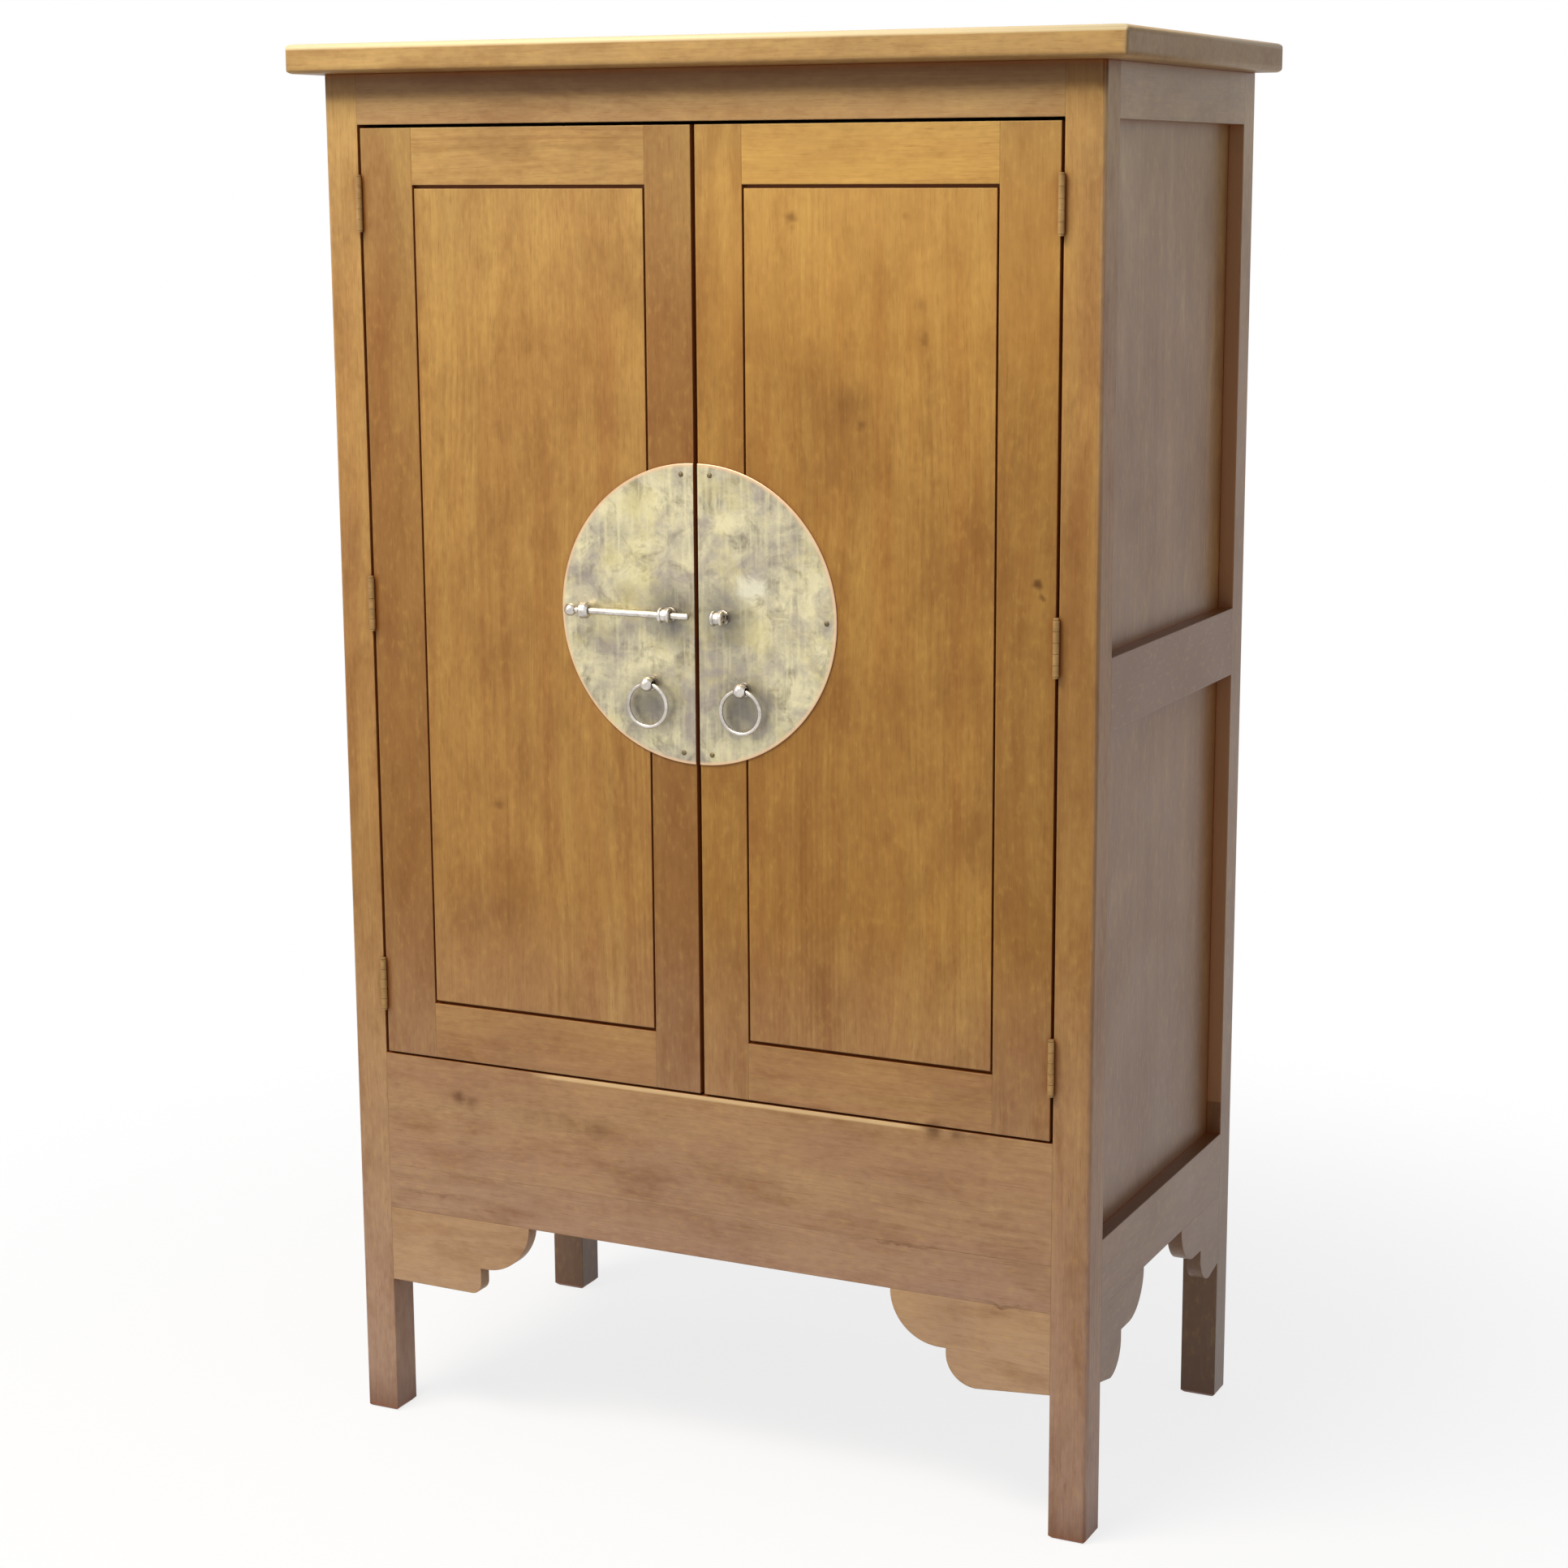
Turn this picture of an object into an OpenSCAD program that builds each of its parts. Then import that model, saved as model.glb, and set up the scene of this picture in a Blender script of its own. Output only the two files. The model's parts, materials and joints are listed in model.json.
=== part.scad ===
// Two-door armoire in the Chinese wedding cabinet style: a post-and-rail carcass with grooved panels,
// inset frame-and-panel doors on brass butt hinges, a split round lock plate with a sliding bolt
// and two ring pulls, cloud-lobed corner brackets and a wide top board.
// Millimetres. The front faces -Y, the floor is z = 0 and the origin is under the middle of the top board.

/* [Overall size] */
// Height from the floor to the top of the top board
total_h = 1800; // [1700:5:1950]
// Width of the carcass over its posts
carcass_w = 1036; // [960:2:1200]
// Depth of the carcass over its posts
carcass_d = 552; // [480:2:640]

/* [Top board] */
// Thickness of the top board
board_t = 36; // [28:1:45]
// How far the top board passes each side of the carcass
side_overhang = 35; // [20:1:60]
// How far the top board passes the front of the carcass
front_overhang = 32; // [30:1:60]
// Radius of the rounded upper edges
board_round = 8; // [3:0.5:12]
// Radius of the eased lower edges
board_under_round = 8; // [1:0.5:10]
// Radius of the corners, seen from above
board_corner = 5; // [2:0.5:12]

/* [Posts and rails] */
// Width of a post, seen from the front
post_w = 48; // [42:1:60]
// Depth of a post, seen from the side
post_d = 46; // [44:1:60]
// Radius of a post's outer corner
post_round = 6; // [1:0.5:6]
// Width of the bevel round a post's foot
foot_bevel = 4; // [1:0.5:8]
// Thickness of the carcass rails
rail_t = 34; // [33:0.5:38]
// Length of a carcass tenon
tenon_l = 22; // [14:1:22]
// Thickness of a carcass tenon
tenon_t = 10; // [6:0.5:10]
// Step above and below a tenon
tenon_shoulder = 10; // [10:0.5:16]
// Clearance around a tenon in its mortise
mortise_play = 0.2; // [0.1:0.05:0.3]

/* [Front] */
// Height of the arch under the carcass
arch_h = 290; // [240:2:330]
// Height of the apron strip over the arch
apron_h = 60; // [40:2:80]
// Thickness of the apron strip
apron_t = 20; // [16:1:30]
// Height of the deep rail under the doors
front_rail_h = 154; // [120:2:180]
// Height of the rail over the doors
front_top_rail_h = 62; // [50:1:80]

/* [Sides and back] */
// Height of the top rails
top_rail_h = 64; // [50:1:80]
// Height of the middle rails
middle_rail_h = 87; // [60:1:110]
// Underside of the middle rails above the floor
middle_rail_z = 1000; // [940:5:1080]
// Height of the bottom rails
bottom_rail_h = 86; // [60:1:110]
// Thickness of the side and back panels
panel_t = 8; // [6:0.5:9]
// How far the side and back panels sit behind the rails' faces
panel_recess = 20; // [14:0.5:21]
// Depth of the grooves that hold the panels
groove_d = 8; // [5:0.5:9]
// Clearance of a panel in its groove
panel_play = 0.3; // [0.2:0.05:0.5]

/* [Corner brackets] */
// Thickness of the brackets
bracket_t = 20; // [14:1:28]
// Length of a front bracket under the apron
front_bracket_l = 212; // [180:2:260]
// Height of a front bracket
front_bracket_h = 112; // [100:2:130]
// Radius of the upper lobe of a front bracket
front_upper_lobe = 66; // [50:1:68]
// Length of the lower lobe of a front bracket
front_lower_l = 137; // [110:1:146]
// Radius of the lower lobe of a front bracket
front_lower_lobe = 40; // [20:1:44]
// Height of the left front bracket, which is cut shallower
left_bracket_h = 102; // [90:1:130]
// Radius of the lower lobe of the left front bracket
left_lower_lobe = 14; // [8:1:20]
// Length of a side bracket under its rail
side_bracket_l = 156; // [130:2:170]
// Height of a side bracket
side_bracket_h = 104; // [95:1:115]
// Radius of the upper lobe of a side bracket
side_upper_lobe = 54; // [40:1:58]
// Length of the lower lobe of a side bracket
side_lower_l = 74; // [60:2:90]
// Radius of the lower lobe of a side bracket
side_lower_lobe = 38; // [20:1:40]
// How far a bracket's lower edge rises towards its leg
bracket_lift = 8; // [0:1:12]
// How far the left front bracket's lower edge rises towards its leg
left_bracket_lift = 1; // [0:1:12]

/* [Inside] */
// Thickness of the floor board
floor_t = 18; // [14:1:24]
// How far the floor board lies below the door sill
floor_drop = 6; // [2:1:20]
// Thickness of the shelves
shelf_t = 18; // [14:1:24]
// Top of the lower shelf above the floor
lower_shelf_z = 890; // [780:5:960]
// Top of the upper shelf above the floor
upper_shelf_z = 1290; // [1180:5:1400]
// Width of the cleats that carry the boards
cleat_w = 20; // [14:1:30]
// Height of the cleats
cleat_h = 25; // [18:1:35]
// Space between the doors' backs and the shelves' front edges
shelf_setback = 6; // [4:1:20]
// Clearance around the shelves and the floor board
shelf_play = 0.5; // [0.3:0.1:1]

/* [Doors] */
// Gap beside and over the doors
door_gap = 4.2; // [3:0.1:5]
// Gap between the two doors
middle_gap = 6; // [3:0.1:7]
// Gap under the doors
sill_gap = 3.2; // [1.6:0.1:5]
// Thickness of the door frames
door_t = 24; // [22:1:28]
// Width of the stiles that carry the hinges
outer_stile_w = 74; // [65:0.5:95]
// Width of the stiles that meet in the middle
inner_stile_w = 62; // [55:0.5:80]
// Height of the doors' top rails
door_top_rail_h = 69.5; // [60:0.5:95]
// Height of the doors' bottom rails
door_bottom_rail_h = 73; // [60:0.5:100]
// Length of a door tenon
door_tenon_l = 30; // [20:1:40]
// Thickness of a door tenon
door_tenon_t = 8; // [6:0.5:9]
// Width of the dark lines over and under a door panel
level_gap = 4.4; // [2:0.2:6]
// Width of the dark lines beside a door panel
side_gap = 2.8; // [1.6:0.2:6]
// Thickness of a door panel
field_t = 16; // [14:0.5:20]
// Thickness of the tongue around a door panel
tongue_t = 6; // [4:0.5:7]
// How far the tongue lies behind the door's face
tongue_back = 8; // [6:0.5:8.5]

/* [Hinges] */
// Length of a hinge
hinge_l = 66; // [60:1:90]
// Distance from a door's end to the middle of its nearest hinge
hinge_inset = 92; // [80:1:140]
// Number of knuckles in a hinge
knuckles = 5; // [3:2:7]
// Diameter of a knuckle
knuckle_d = 8; // [7:0.2:9]
// Diameter of a hinge pin
pin_d = 3; // [2.5:0.1:4]
// Running clearance of a pin, on the radius
pin_play = 0.05; // [0.02:0.01:0.1]
// Gap between neighbouring knuckles
knuckle_gap = 0.4; // [0.3:0.05:0.6]
// Thickness of a hinge leaf
leaf_t = 1.6; // [1.5:0.1:2]
// Depth of a hinge leaf from the door's face
leaf_w = 18; // [15:0.5:19]
// Depth that a leaf is let into the wood
leaf_sunk = 0.2; // [0.1:0.1:0.8]
// Clearance of a leaf in the wood that it is let into
leaf_play = 0.1; // [0.05:0.05:0.3]
// Length of a hinge screw
screw_l = 16; // [12:1:20]
// Diameter of a hinge screw's shank
screw_d = 3.2; // [2.8:0.1:3.6]
// Diameter of a hinge screw's head
screw_head_d = 6; // [5:0.2:6.2]
// Distance from a leaf's end to the middle of its nearest screw
screw_inset = 7; // [5:0.5:12]

/* [Lock plate] */
// Radius of each half of the round plate that the doors share
plate_r = 185; // [150:1:200]
// Thickness of the plate
plate_t = 2; // [1.5:0.1:2.5]
// Width of the bevel on the plate's rim
plate_bevel = 0.8; // [0.3:0.1:1]
// Height of the plate's middle above the doors' lower edge
lock_rise = 606; // [560:1:650]

/* [Bolt] */
// Diameter of the bolt's rod
rod_d = 8; // [7:0.1:8.2]
// How far the bolt's tip passes the middle when it is shut
bolt_reach = 91; // [70:1:110]
// How far the drawn bolt's tip stops short of its door's edge
tip_setback = 1; // [1:0.5:5]
// Width of the chamfer on the bolt's tip
tip_chamfer = 1; // [0.5:0.1:2]
// Diameter of the ball on the bolt's end
ball_d = 16; // [12:0.5:18]
// Diameter of the neck behind the ball
neck_d = 7; // [6:0.2:9]
// Length of the neck behind the ball
neck_l = 5; // [3:0.5:10]
// Diameter of the bolt's collar
collar_d = 20; // [16:0.5:20]
// Length of the bolt's collar
collar_l = 13; // [8:0.5:16]
// Chamfer on the collar's ends
collar_chamfer = 3; // [1:0.5:4]
// Gap between the collar and its lug when the bolt is shut
collar_gap = 3; // [1:0.5:6]
// Distance from the middle to each lug
lug_x = 36; // [30:1:50]
// Length of a lug along the bolt
lug_l = 16; // [12:0.5:20]
// Diameter of a lug over its beads
lug_d = 19; // [17:0.5:20]
// Radius of the beads at a lug's ends
bead_r = 2.4; // [1.5:0.1:3]
// Diameter of the hole that the bolt slides in
lug_bore_d = 9.4; // [9.2:0.1:10]
// Height of the bolt's axis above the plate
bolt_stand = 14; // [12:0.5:16]

/* [Ring pulls] */
// Outer diameter of a ring
ring_d = 58; // [50:1:70]
// Diameter of a ring's wire
ring_wire_d = 5; // [4:0.2:6]
// Distance from the middle to each ring
ring_x = 64; // [50:1:80]
// Distance from the bolt's axis down to the rings' eyes
ring_drop = 87; // [80:1:100]
// Diameter of the ball that a ring hangs in
eye_d = 18; // [16:0.5:20]
// Height of the eye's middle above the plate
eye_stand = 11; // [10:0.5:13]
// Clearance of a ring in its eye
ring_play = 0.3; // [0.2:0.05:0.5]

/* [Seats on the plate] */
// Diameter of the neck under a lug or an eye
stem_d = 8; // [6:0.5:9]
// Diameter of the flange on the plate
flange_d = 18; // [14:0.5:22]
// Thickness of the flange
flange_t = 1.5; // [1:0.1:1.8]
// Diameter of the spigot that is riveted through the plate
spigot_d = 6; // [4:0.5:7]
// Clearance of the spigot in the plate
spigot_play = 0.1; // [0.05:0.05:0.3]

/* [Hidden] */
$fn = 48;
left = -1;
right = 1;
cut = 1;

carcass_h = total_h - board_t;
board_w = carcass_w + 2 * side_overhang;
board_d = carcass_d + front_overhang;
front_y = front_overhang - board_d / 2;
back_y = front_y + carcass_d;
middle_y = (front_y + back_y) / 2;

opening_w = carcass_w - 2 * post_w;
side_opening_d = carcass_d - 2 * post_d;
sill_z = arch_h + apron_h + front_rail_h;

// Each rail is [underside above the floor, height]
front_top_rail = [carcass_h - front_top_rail_h, front_top_rail_h];
front_bottom_rail = [arch_h + apron_h, front_rail_h];
top_rail = [carcass_h - top_rail_h, top_rail_h];
middle_rail = [middle_rail_z, middle_rail_h];
bottom_rail = [arch_h, bottom_rail_h];
front_rails = [front_top_rail, front_bottom_rail];
other_rails = [top_rail, middle_rail, bottom_rail];

// Each panel opening is [lower edge, upper edge]
upper_opening = [middle_rail_z + middle_rail_h, carcass_h - top_rail_h];
lower_opening = [arch_h + bottom_rail_h, middle_rail_z];

door_outer_x = opening_w / 2 - door_gap;
door_inner_x = middle_gap / 2;
door_bottom = sill_z + sill_gap;
door_top = carcass_h - front_top_rail_h - door_gap;
stile_outer_x = door_outer_x - outer_stile_w;
stile_inner_x = door_inner_x + inner_stile_w;
panel_bottom = door_bottom + door_bottom_rail_h;
panel_top = door_top - door_top_rail_h;
door_rail_l = stile_outer_x - stile_inner_x;
door_rail_x = (stile_outer_x + stile_inner_x) / 2;

knuckle_clear = 0.2;
// Gap between the closed leaves
leaf_gap = door_gap - 2 * (leaf_t - leaf_sunk);
hinge_x = opening_w / 2 - door_gap / 2;
hinge_stand = knuckle_d / 2 + knuckle_clear;
knuckle_pitch = hinge_l / knuckles;
hinge_levels = [door_bottom + hinge_inset, (door_bottom + door_top) / 2, door_top - hinge_inset];
pin_head_d = knuckle_d - 1;
pin_head_h = 2;
screw_head_h = (screw_head_d - screw_d) / 2;
screw_slot_w = 0.9;
screw_slot_d = 0.7;
screw_depth_y = hinge_stand + leaf_w * 0.6;
screws_per_leaf = 3;
screw_pitch = (hinge_l - 2 * screw_inset) / (screws_per_leaf - 1);

lock_z = door_bottom + lock_rise;
plate_face_y = front_y - plate_t;
bolt_y = plate_face_y - bolt_stand;
bolt_travel = bolt_reach + door_inner_x + tip_setback;
shank_l = bolt_reach + lug_x + lug_l / 2 + collar_gap;
drawn_tip_x = -door_inner_x - tip_setback;
waist_d = lug_d - 2 * bead_r + 1;

ring_r = (ring_d - ring_wire_d) / 2;
eye_y = plate_face_y - eye_stand;
eye_z = lock_z - ring_drop;
// How far the ring's curve dips across the eye
ring_dip = ring_r - sqrt(ring_r * ring_r - eye_d * eye_d / 4);
eye_bore_r = ring_wire_d / 2 + ring_dip + ring_play;

honey = "#A87C45";
golden = "#B88C52";
shade = "#8A6A48";
inner_wood = "#7A5A3C";
old_brass = "#B8A880";
bright_brass = "#E0D8B8";
hinge_brass = "#9A7A48";

// Draws a piece of the right half on the side that is asked for
module sided(side) {
  if (side == left) mirror([1, 0, 0]) children();
  else children();
}

// These stand what is drawn along X, with its outer face at y = 0, on one side of the carcass
module on_front() translate([0, front_y, 0]) children();
module on_back() translate([0, back_y, 0]) rotate([0, 0, 180]) children();
module on_right() translate([carcass_w / 2, middle_y, 0]) rotate([0, 0, 90]) children();

// Section of the top board: the upper edges have the larger rounds
module board_section(length) {
  translate([-length / 2, board_under_round])
    square([length, board_t - board_round - board_under_round]);
  translate([board_under_round - length / 2, 0])
    square([length - 2 * board_under_round, board_t - board_round]);
  translate([board_round - length / 2, 0]) square([length - 2 * board_round, board_t]);
  for (end = [-1, 1]) {
    translate([end * (length / 2 - board_round), board_t - board_round]) circle(board_round);
    translate([end * (length / 2 - board_under_round), board_under_round]) circle(board_under_round);
  }
}

module board_plan() {
  square([board_w - 2 * board_corner, board_d], center = true);
  square([board_w, board_d - 2 * board_corner], center = true);
  for (x = [-1, 1], y = [-1, 1])
    translate([x * (board_w / 2 - board_corner), y * (board_d / 2 - board_corner)]) circle(board_corner);
}

// Top board: the overlap of its sections both ways and its plan, so its rounded edges meet in mitres
module top_board() color(golden) translate([0, 0, carcass_h]) intersection() {
  translate([0, board_d / 2, 0]) rotate([90, 0, 0]) linear_extrude(board_d) board_section(board_w);
  translate([-board_w / 2, 0, 0]) rotate([90, 0, 90]) linear_extrude(board_w) board_section(board_d);
  linear_extrude(board_t) board_plan();
}

// A tenon at both ends of a rail, as one bar; with play it is the mortises' shape
module tenon_bar(length, rail, play) {
  size_y = tenon_t + 2 * play;
  translate([-length / 2 - tenon_l - play, (rail_t - size_y) / 2, rail[0] + tenon_shoulder - play])
    cube([length + 2 * (tenon_l + play), size_y, rail[1] - 2 * (tenon_shoulder - play)]);
}

module mortises(length, rails) {
  for (rail = rails) tenon_bar(length, rail, mortise_play);
}

module panel_blank(width, opening, play) {
  reach = groove_d - play;
  translate([-width / 2 - reach, panel_recess, opening[0] - reach])
    cube([width + 2 * reach, panel_t, opening[1] - opening[0] + 2 * reach]);
}

module panel_slots(width) {
  for (opening = [upper_opening, lower_opening])
    translate([-width / 2 - groove_d, panel_recess - panel_play, opening[0] - groove_d])
      cube([width + 2 * groove_d, panel_t + 2 * panel_play, opening[1] - opening[0] + 2 * groove_d]);
}

// Right front corner seen from above, with the rounded outer corner
module post_section() {
  square([post_w - post_round, post_d]);
  translate([0, post_round]) square([post_w, post_d - post_round]);
  translate([post_w - post_round, post_round]) circle(post_round);
}

// A post with its foot bevelled all round, so that it doesn't splinter when the cabinet is pushed
module post() difference() {
  linear_extrude(carcass_h) post_section();
  for (x = [0, post_w]) translate([x, post_d / 2, 0]) rotate([0, 45, 0])
    cube([foot_bevel * sqrt(2), post_d + 2 * cut, foot_bevel * sqrt(2)], center = true);
  for (y = [0, post_d]) translate([post_w / 2, y, 0]) rotate([45, 0, 0])
    cube([post_w + 2 * cut, foot_bevel * sqrt(2), foot_bevel * sqrt(2)], center = true);
}

module front_post() color(honey) difference() {
  translate([opening_w / 2, front_y, 0]) post();
  on_front() mortises(opening_w, front_rails);
  on_right() mortises(side_opening_d, other_rails);
  on_right() panel_slots(side_opening_d);
  at_hinges() leaf_recess();
  at_hinges() at_screws() screw(leaf_play);
}

module rear_post() color(shade) difference() {
  translate([opening_w / 2, back_y, 0]) mirror([0, 1, 0]) post();
  on_back() mortises(opening_w, other_rails);
  on_right() mortises(side_opening_d, other_rails);
  on_right() panel_slots(side_opening_d);
  on_back() panel_slots(opening_w);
}

// A rail with its tenons
module plain_rail(length, rail) {
  translate([-length / 2, 0, rail[0]]) cube([length, rail_t, rail[1]]);
  tenon_bar(length, rail, 0);
}

module grooved_rail(length, rail) difference() {
  plain_rail(length, rail);
  panel_slots(length);
}

module front_rail(rail) color(honey) on_front() plain_rail(opening_w, rail);
module side_rail(rail) color(shade) on_right() grooved_rail(side_opening_d, rail);
module back_rail(rail) color(shade) on_back() grooved_rail(opening_w, rail);
module side_panel(opening) color(shade) on_right() panel_blank(side_opening_d, opening, panel_play);
module back_panel(opening) color(shade) on_back() panel_blank(opening_w, opening, panel_play);

module front_apron() color(honey) on_front()
  translate([-opening_w / 2, 0, arch_h]) cube([opening_w, apron_t, apron_h]);

// What the saw takes off a square corner to leave a quarter of a round lobe
module lobe_waste(radius) difference() {
  translate([0, -radius - cut]) square(radius + cut);
  circle(radius);
}

// Cloud bracket: two lobes that step down towards the leg, which is at x = 0, under the rail at y = 0
module bracket_outline(length, height, upper, lower_l, lower, lift) difference() {
  polygon([
    [0, 0], [length, 0], [length, -upper], [lower_l, -upper],
    [lower_l, -height], [lower_l - lower, -height], [0, lift - height]
  ]);
  translate([length - upper, 0]) lobe_waste(upper);
  translate([lower_l - lower, lower - height]) lobe_waste(lower);
}

// Stands a bracket with its leg's face at x = 0 and its outer face at y = 0
module bracket(length, height, upper, lower_l, lower, lift) translate([0, bracket_t, arch_h])
  rotate([90, 0, 0]) linear_extrude(bracket_t) bracket_outline(length, height, upper, lower_l, lower, lift);

module front_bracket(height, lower, lift) color(golden) on_front() translate([opening_w / 2, 0, 0])
  mirror([1, 0, 0]) bracket(front_bracket_l, height, front_upper_lobe, front_lower_l, lower, lift);

module side_bracket() translate([-side_opening_d / 2, 0, 0])
  bracket(side_bracket_l, side_bracket_h, side_upper_lobe, side_lower_l, side_lower_lobe, bracket_lift);

module side_front_bracket() color(shade) on_right() side_bracket();
module side_rear_bracket() color(shade) on_right() mirror([1, 0, 0]) side_bracket();

// A board inside the carcass, notched round the four posts
module notched_board(top_z, thickness, front_edge) {
  half_w = carcass_w / 2 - rail_t - shelf_play;
  rear_edge = back_y - rail_t - shelf_play;
  notch_x = opening_w / 2 - shelf_play;
  difference() {
    translate([-half_w, front_edge, top_z - thickness])
      cube([2 * half_w, rear_edge - front_edge, thickness]);
    for (side = [left, right]) sided(side) {
      translate([notch_x, front_edge - cut, top_z - thickness - cut])
        cube([post_w, front_y + post_d + shelf_play - front_edge + cut, thickness + 2 * cut]);
      translate([notch_x, back_y - post_d - shelf_play, top_z - thickness - cut])
        cube([post_w, post_d, thickness + 2 * cut]);
    }
  }
}

shelf_front = front_y + door_t + shelf_setback;
floor_front = front_y + rail_t + shelf_play;
floor_z = sill_z - floor_drop;

module floor_board() color(inner_wood) notched_board(floor_z, floor_t, floor_front);
module shelf(top_z) color(inner_wood) notched_board(top_z, shelf_t, shelf_front);

// Cleats run between the posts and carry each board from below
module shelf_cleats() color(inner_wood)
  for (underside = [floor_z - floor_t, lower_shelf_z - shelf_t, upper_shelf_z - shelf_t])
    for (side = [left, right]) sided(side)
      translate([opening_w / 2 - cleat_w, floor_front, underside - cleat_h])
        cube([cleat_w, back_y - rail_t - shelf_play - floor_front, cleat_h]);

// Door members, drawn for the right door
module door_slot()
  translate([stile_inner_x - groove_d, front_y + tongue_back - panel_play, panel_bottom - groove_d])
    cube([door_rail_l + 2 * groove_d, tongue_t + 2 * panel_play, panel_top - panel_bottom + 2 * groove_d]);

module door_tenons(rail_z, rail_h, play) {
  size_y = door_tenon_t + 2 * play;
  reach = door_rail_l / 2 + door_tenon_l + play;
  translate([door_rail_x - reach, front_y + (door_t - size_y) / 2, rail_z + tenon_shoulder - play])
    cube([2 * reach, size_y, rail_h - 2 * (tenon_shoulder - play)]);
}

module door_mortises() {
  door_tenons(door_bottom, door_bottom_rail_h, mortise_play);
  door_tenons(panel_top, door_top_rail_h, mortise_play);
}

module door_stile(start_x, width) difference() {
  translate([start_x, front_y, door_bottom]) cube([width, door_t, door_top - door_bottom]);
  door_mortises();
  door_slot();
}

module door_inner_stile() color(honey) door_stile(door_inner_x, inner_stile_w);

module door_outer_stile() color(honey) difference() {
  door_stile(stile_outer_x, outer_stile_w);
  at_hinges() mirror([1, 0, 0]) leaf_recess();
  at_hinges() mirror([1, 0, 0]) at_screws() screw(leaf_play);
}

module door_rail(rail_z, rail_h) color(honey) difference() {
  union() {
    translate([stile_inner_x, front_y, rail_z]) cube([door_rail_l, door_t, rail_h]);
    door_tenons(rail_z, rail_h, 0);
  }
  door_slot();
}

// The panel's field is flush with the frame, and its tongue rides in the groove
module door_panel() color(golden) {
  reach = groove_d - panel_play;
  translate([stile_inner_x + side_gap, front_y, panel_bottom + level_gap])
    cube([door_rail_l - 2 * side_gap, field_t, panel_top - panel_bottom - 2 * level_gap]);
  translate([stile_inner_x - reach, front_y + tongue_back, panel_bottom - reach])
    cube([door_rail_l + 2 * reach, tongue_t, panel_top - panel_bottom + 2 * reach]);
}

// Hinges are drawn round their pin, which stands on z = 0, with the post on +X
module at_hinges() {
  for (level = hinge_levels) translate([hinge_x, front_y - hinge_stand, level - hinge_l / 2]) children();
}

module at_screws() {
  for (row = [0 : screws_per_leaf - 1])
    translate([leaf_gap / 2, screw_depth_y, screw_inset + row * screw_pitch])
      rotate([0, 90, 0]) children();
}

// Countersunk wood screw along +Z with its head's face at z = 0; with play it is the hole's shape
module screw(play) {
  cylinder(h = screw_head_h, r1 = screw_head_d / 2 + play, r2 = screw_d / 2 + play);
  cylinder(h = screw_l + play, r = screw_d / 2 + play);
  if (play > 0) translate([0, 0, -cut]) cylinder(h = cut, r = screw_head_d / 2 + play);
}

module slotted_screw() difference() {
  screw(0);
  translate([-screw_head_d, -screw_slot_w / 2, -cut])
    cube([2 * screw_head_d, screw_slot_w, cut + screw_slot_d]);
}

module leaf_recess() {
  leaf_end = leaf_gap / 2 + leaf_t + leaf_play;
  translate([0, hinge_stand - cut, -leaf_play])
    cube([leaf_end, cut + leaf_w + leaf_play, hinge_l + 2 * leaf_play]);
}

// A leaf on the +X side that owns every second knuckle, counted from first
module hinge_leaf(first) difference() {
  union() {
    translate([leaf_gap / 2, hinge_stand + knuckle_clear, 0])
      cube([leaf_t, leaf_w - knuckle_clear, hinge_l]);
    for (index = [first : 2 : knuckles - 1]) translate([0, 0, index * knuckle_pitch + knuckle_gap / 2]) {
      cylinder(h = knuckle_pitch - knuckle_gap, d = knuckle_d);
      translate([leaf_gap / 2, 0, 0])
        cube([leaf_t, hinge_stand + knuckle_clear + cut, knuckle_pitch - knuckle_gap]);
    }
  }
  translate([0, 0, -cut]) cylinder(h = hinge_l + 2 * cut, r = pin_d / 2 + pin_play);
  at_screws() screw(pin_play);
}

module hinge_pin() {
  cylinder(h = hinge_l, d = pin_d);
  for (head_z = [-pin_head_h - knuckle_gap / 2, hinge_l + knuckle_gap / 2])
    translate([0, 0, head_z]) cylinder(h = pin_head_h, d = pin_head_d);
  translate([0, 0, -knuckle_gap]) cylinder(h = hinge_l + 2 * knuckle_gap, d = pin_d);
}

module frame_hinge_leaves() color(hinge_brass)
  for (side = [left, right]) sided(side) at_hinges() hinge_leaf(1);
module door_hinge_leaves() color(hinge_brass) at_hinges() mirror([1, 0, 0]) hinge_leaf(0);
module hinge_pins() color(bright_brass) for (side = [left, right]) sided(side) at_hinges() hinge_pin();
module frame_hinge_screws() color(hinge_brass)
  for (side = [left, right]) sided(side) at_hinges() at_screws() slotted_screw();
module door_hinge_screws() color(hinge_brass) at_hinges() mirror([1, 0, 0]) at_screws() slotted_screw();

// What stands on the plate: a flange, a stem up to the height of its axis, and a spigot through the plate
module seat(stand) rotate([-90, 0, 0]) {
  cylinder(h = stand, d = stem_d);
  translate([0, 0, stand - flange_t]) cylinder(h = flange_t, d = flange_d);
  cylinder(h = stand + plate_t, d = spigot_d);
}

module lock_plate() color(old_brass) difference() {
  intersection() {
    translate([door_inner_x, front_y, lock_z]) rotate([90, 0, 0]) {
      cylinder(h = plate_t - plate_bevel, r = plate_r);
      translate([0, 0, plate_t - plate_bevel])
        cylinder(h = plate_bevel, r1 = plate_r, r2 = plate_r - plate_bevel);
    }
    translate([door_inner_x, front_y - 2 * plate_t, lock_z - 2 * plate_r])
      cube([2 * plate_r, 4 * plate_t, 4 * plate_r]);
  }
  for (place = [[lug_x, lock_z], [ring_x, eye_z]])
    translate([place[0], front_y + cut, place[1]]) rotate([90, 0, 0])
      cylinder(h = plate_t + 2 * cut, r = spigot_d / 2 + spigot_play);
}

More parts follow.
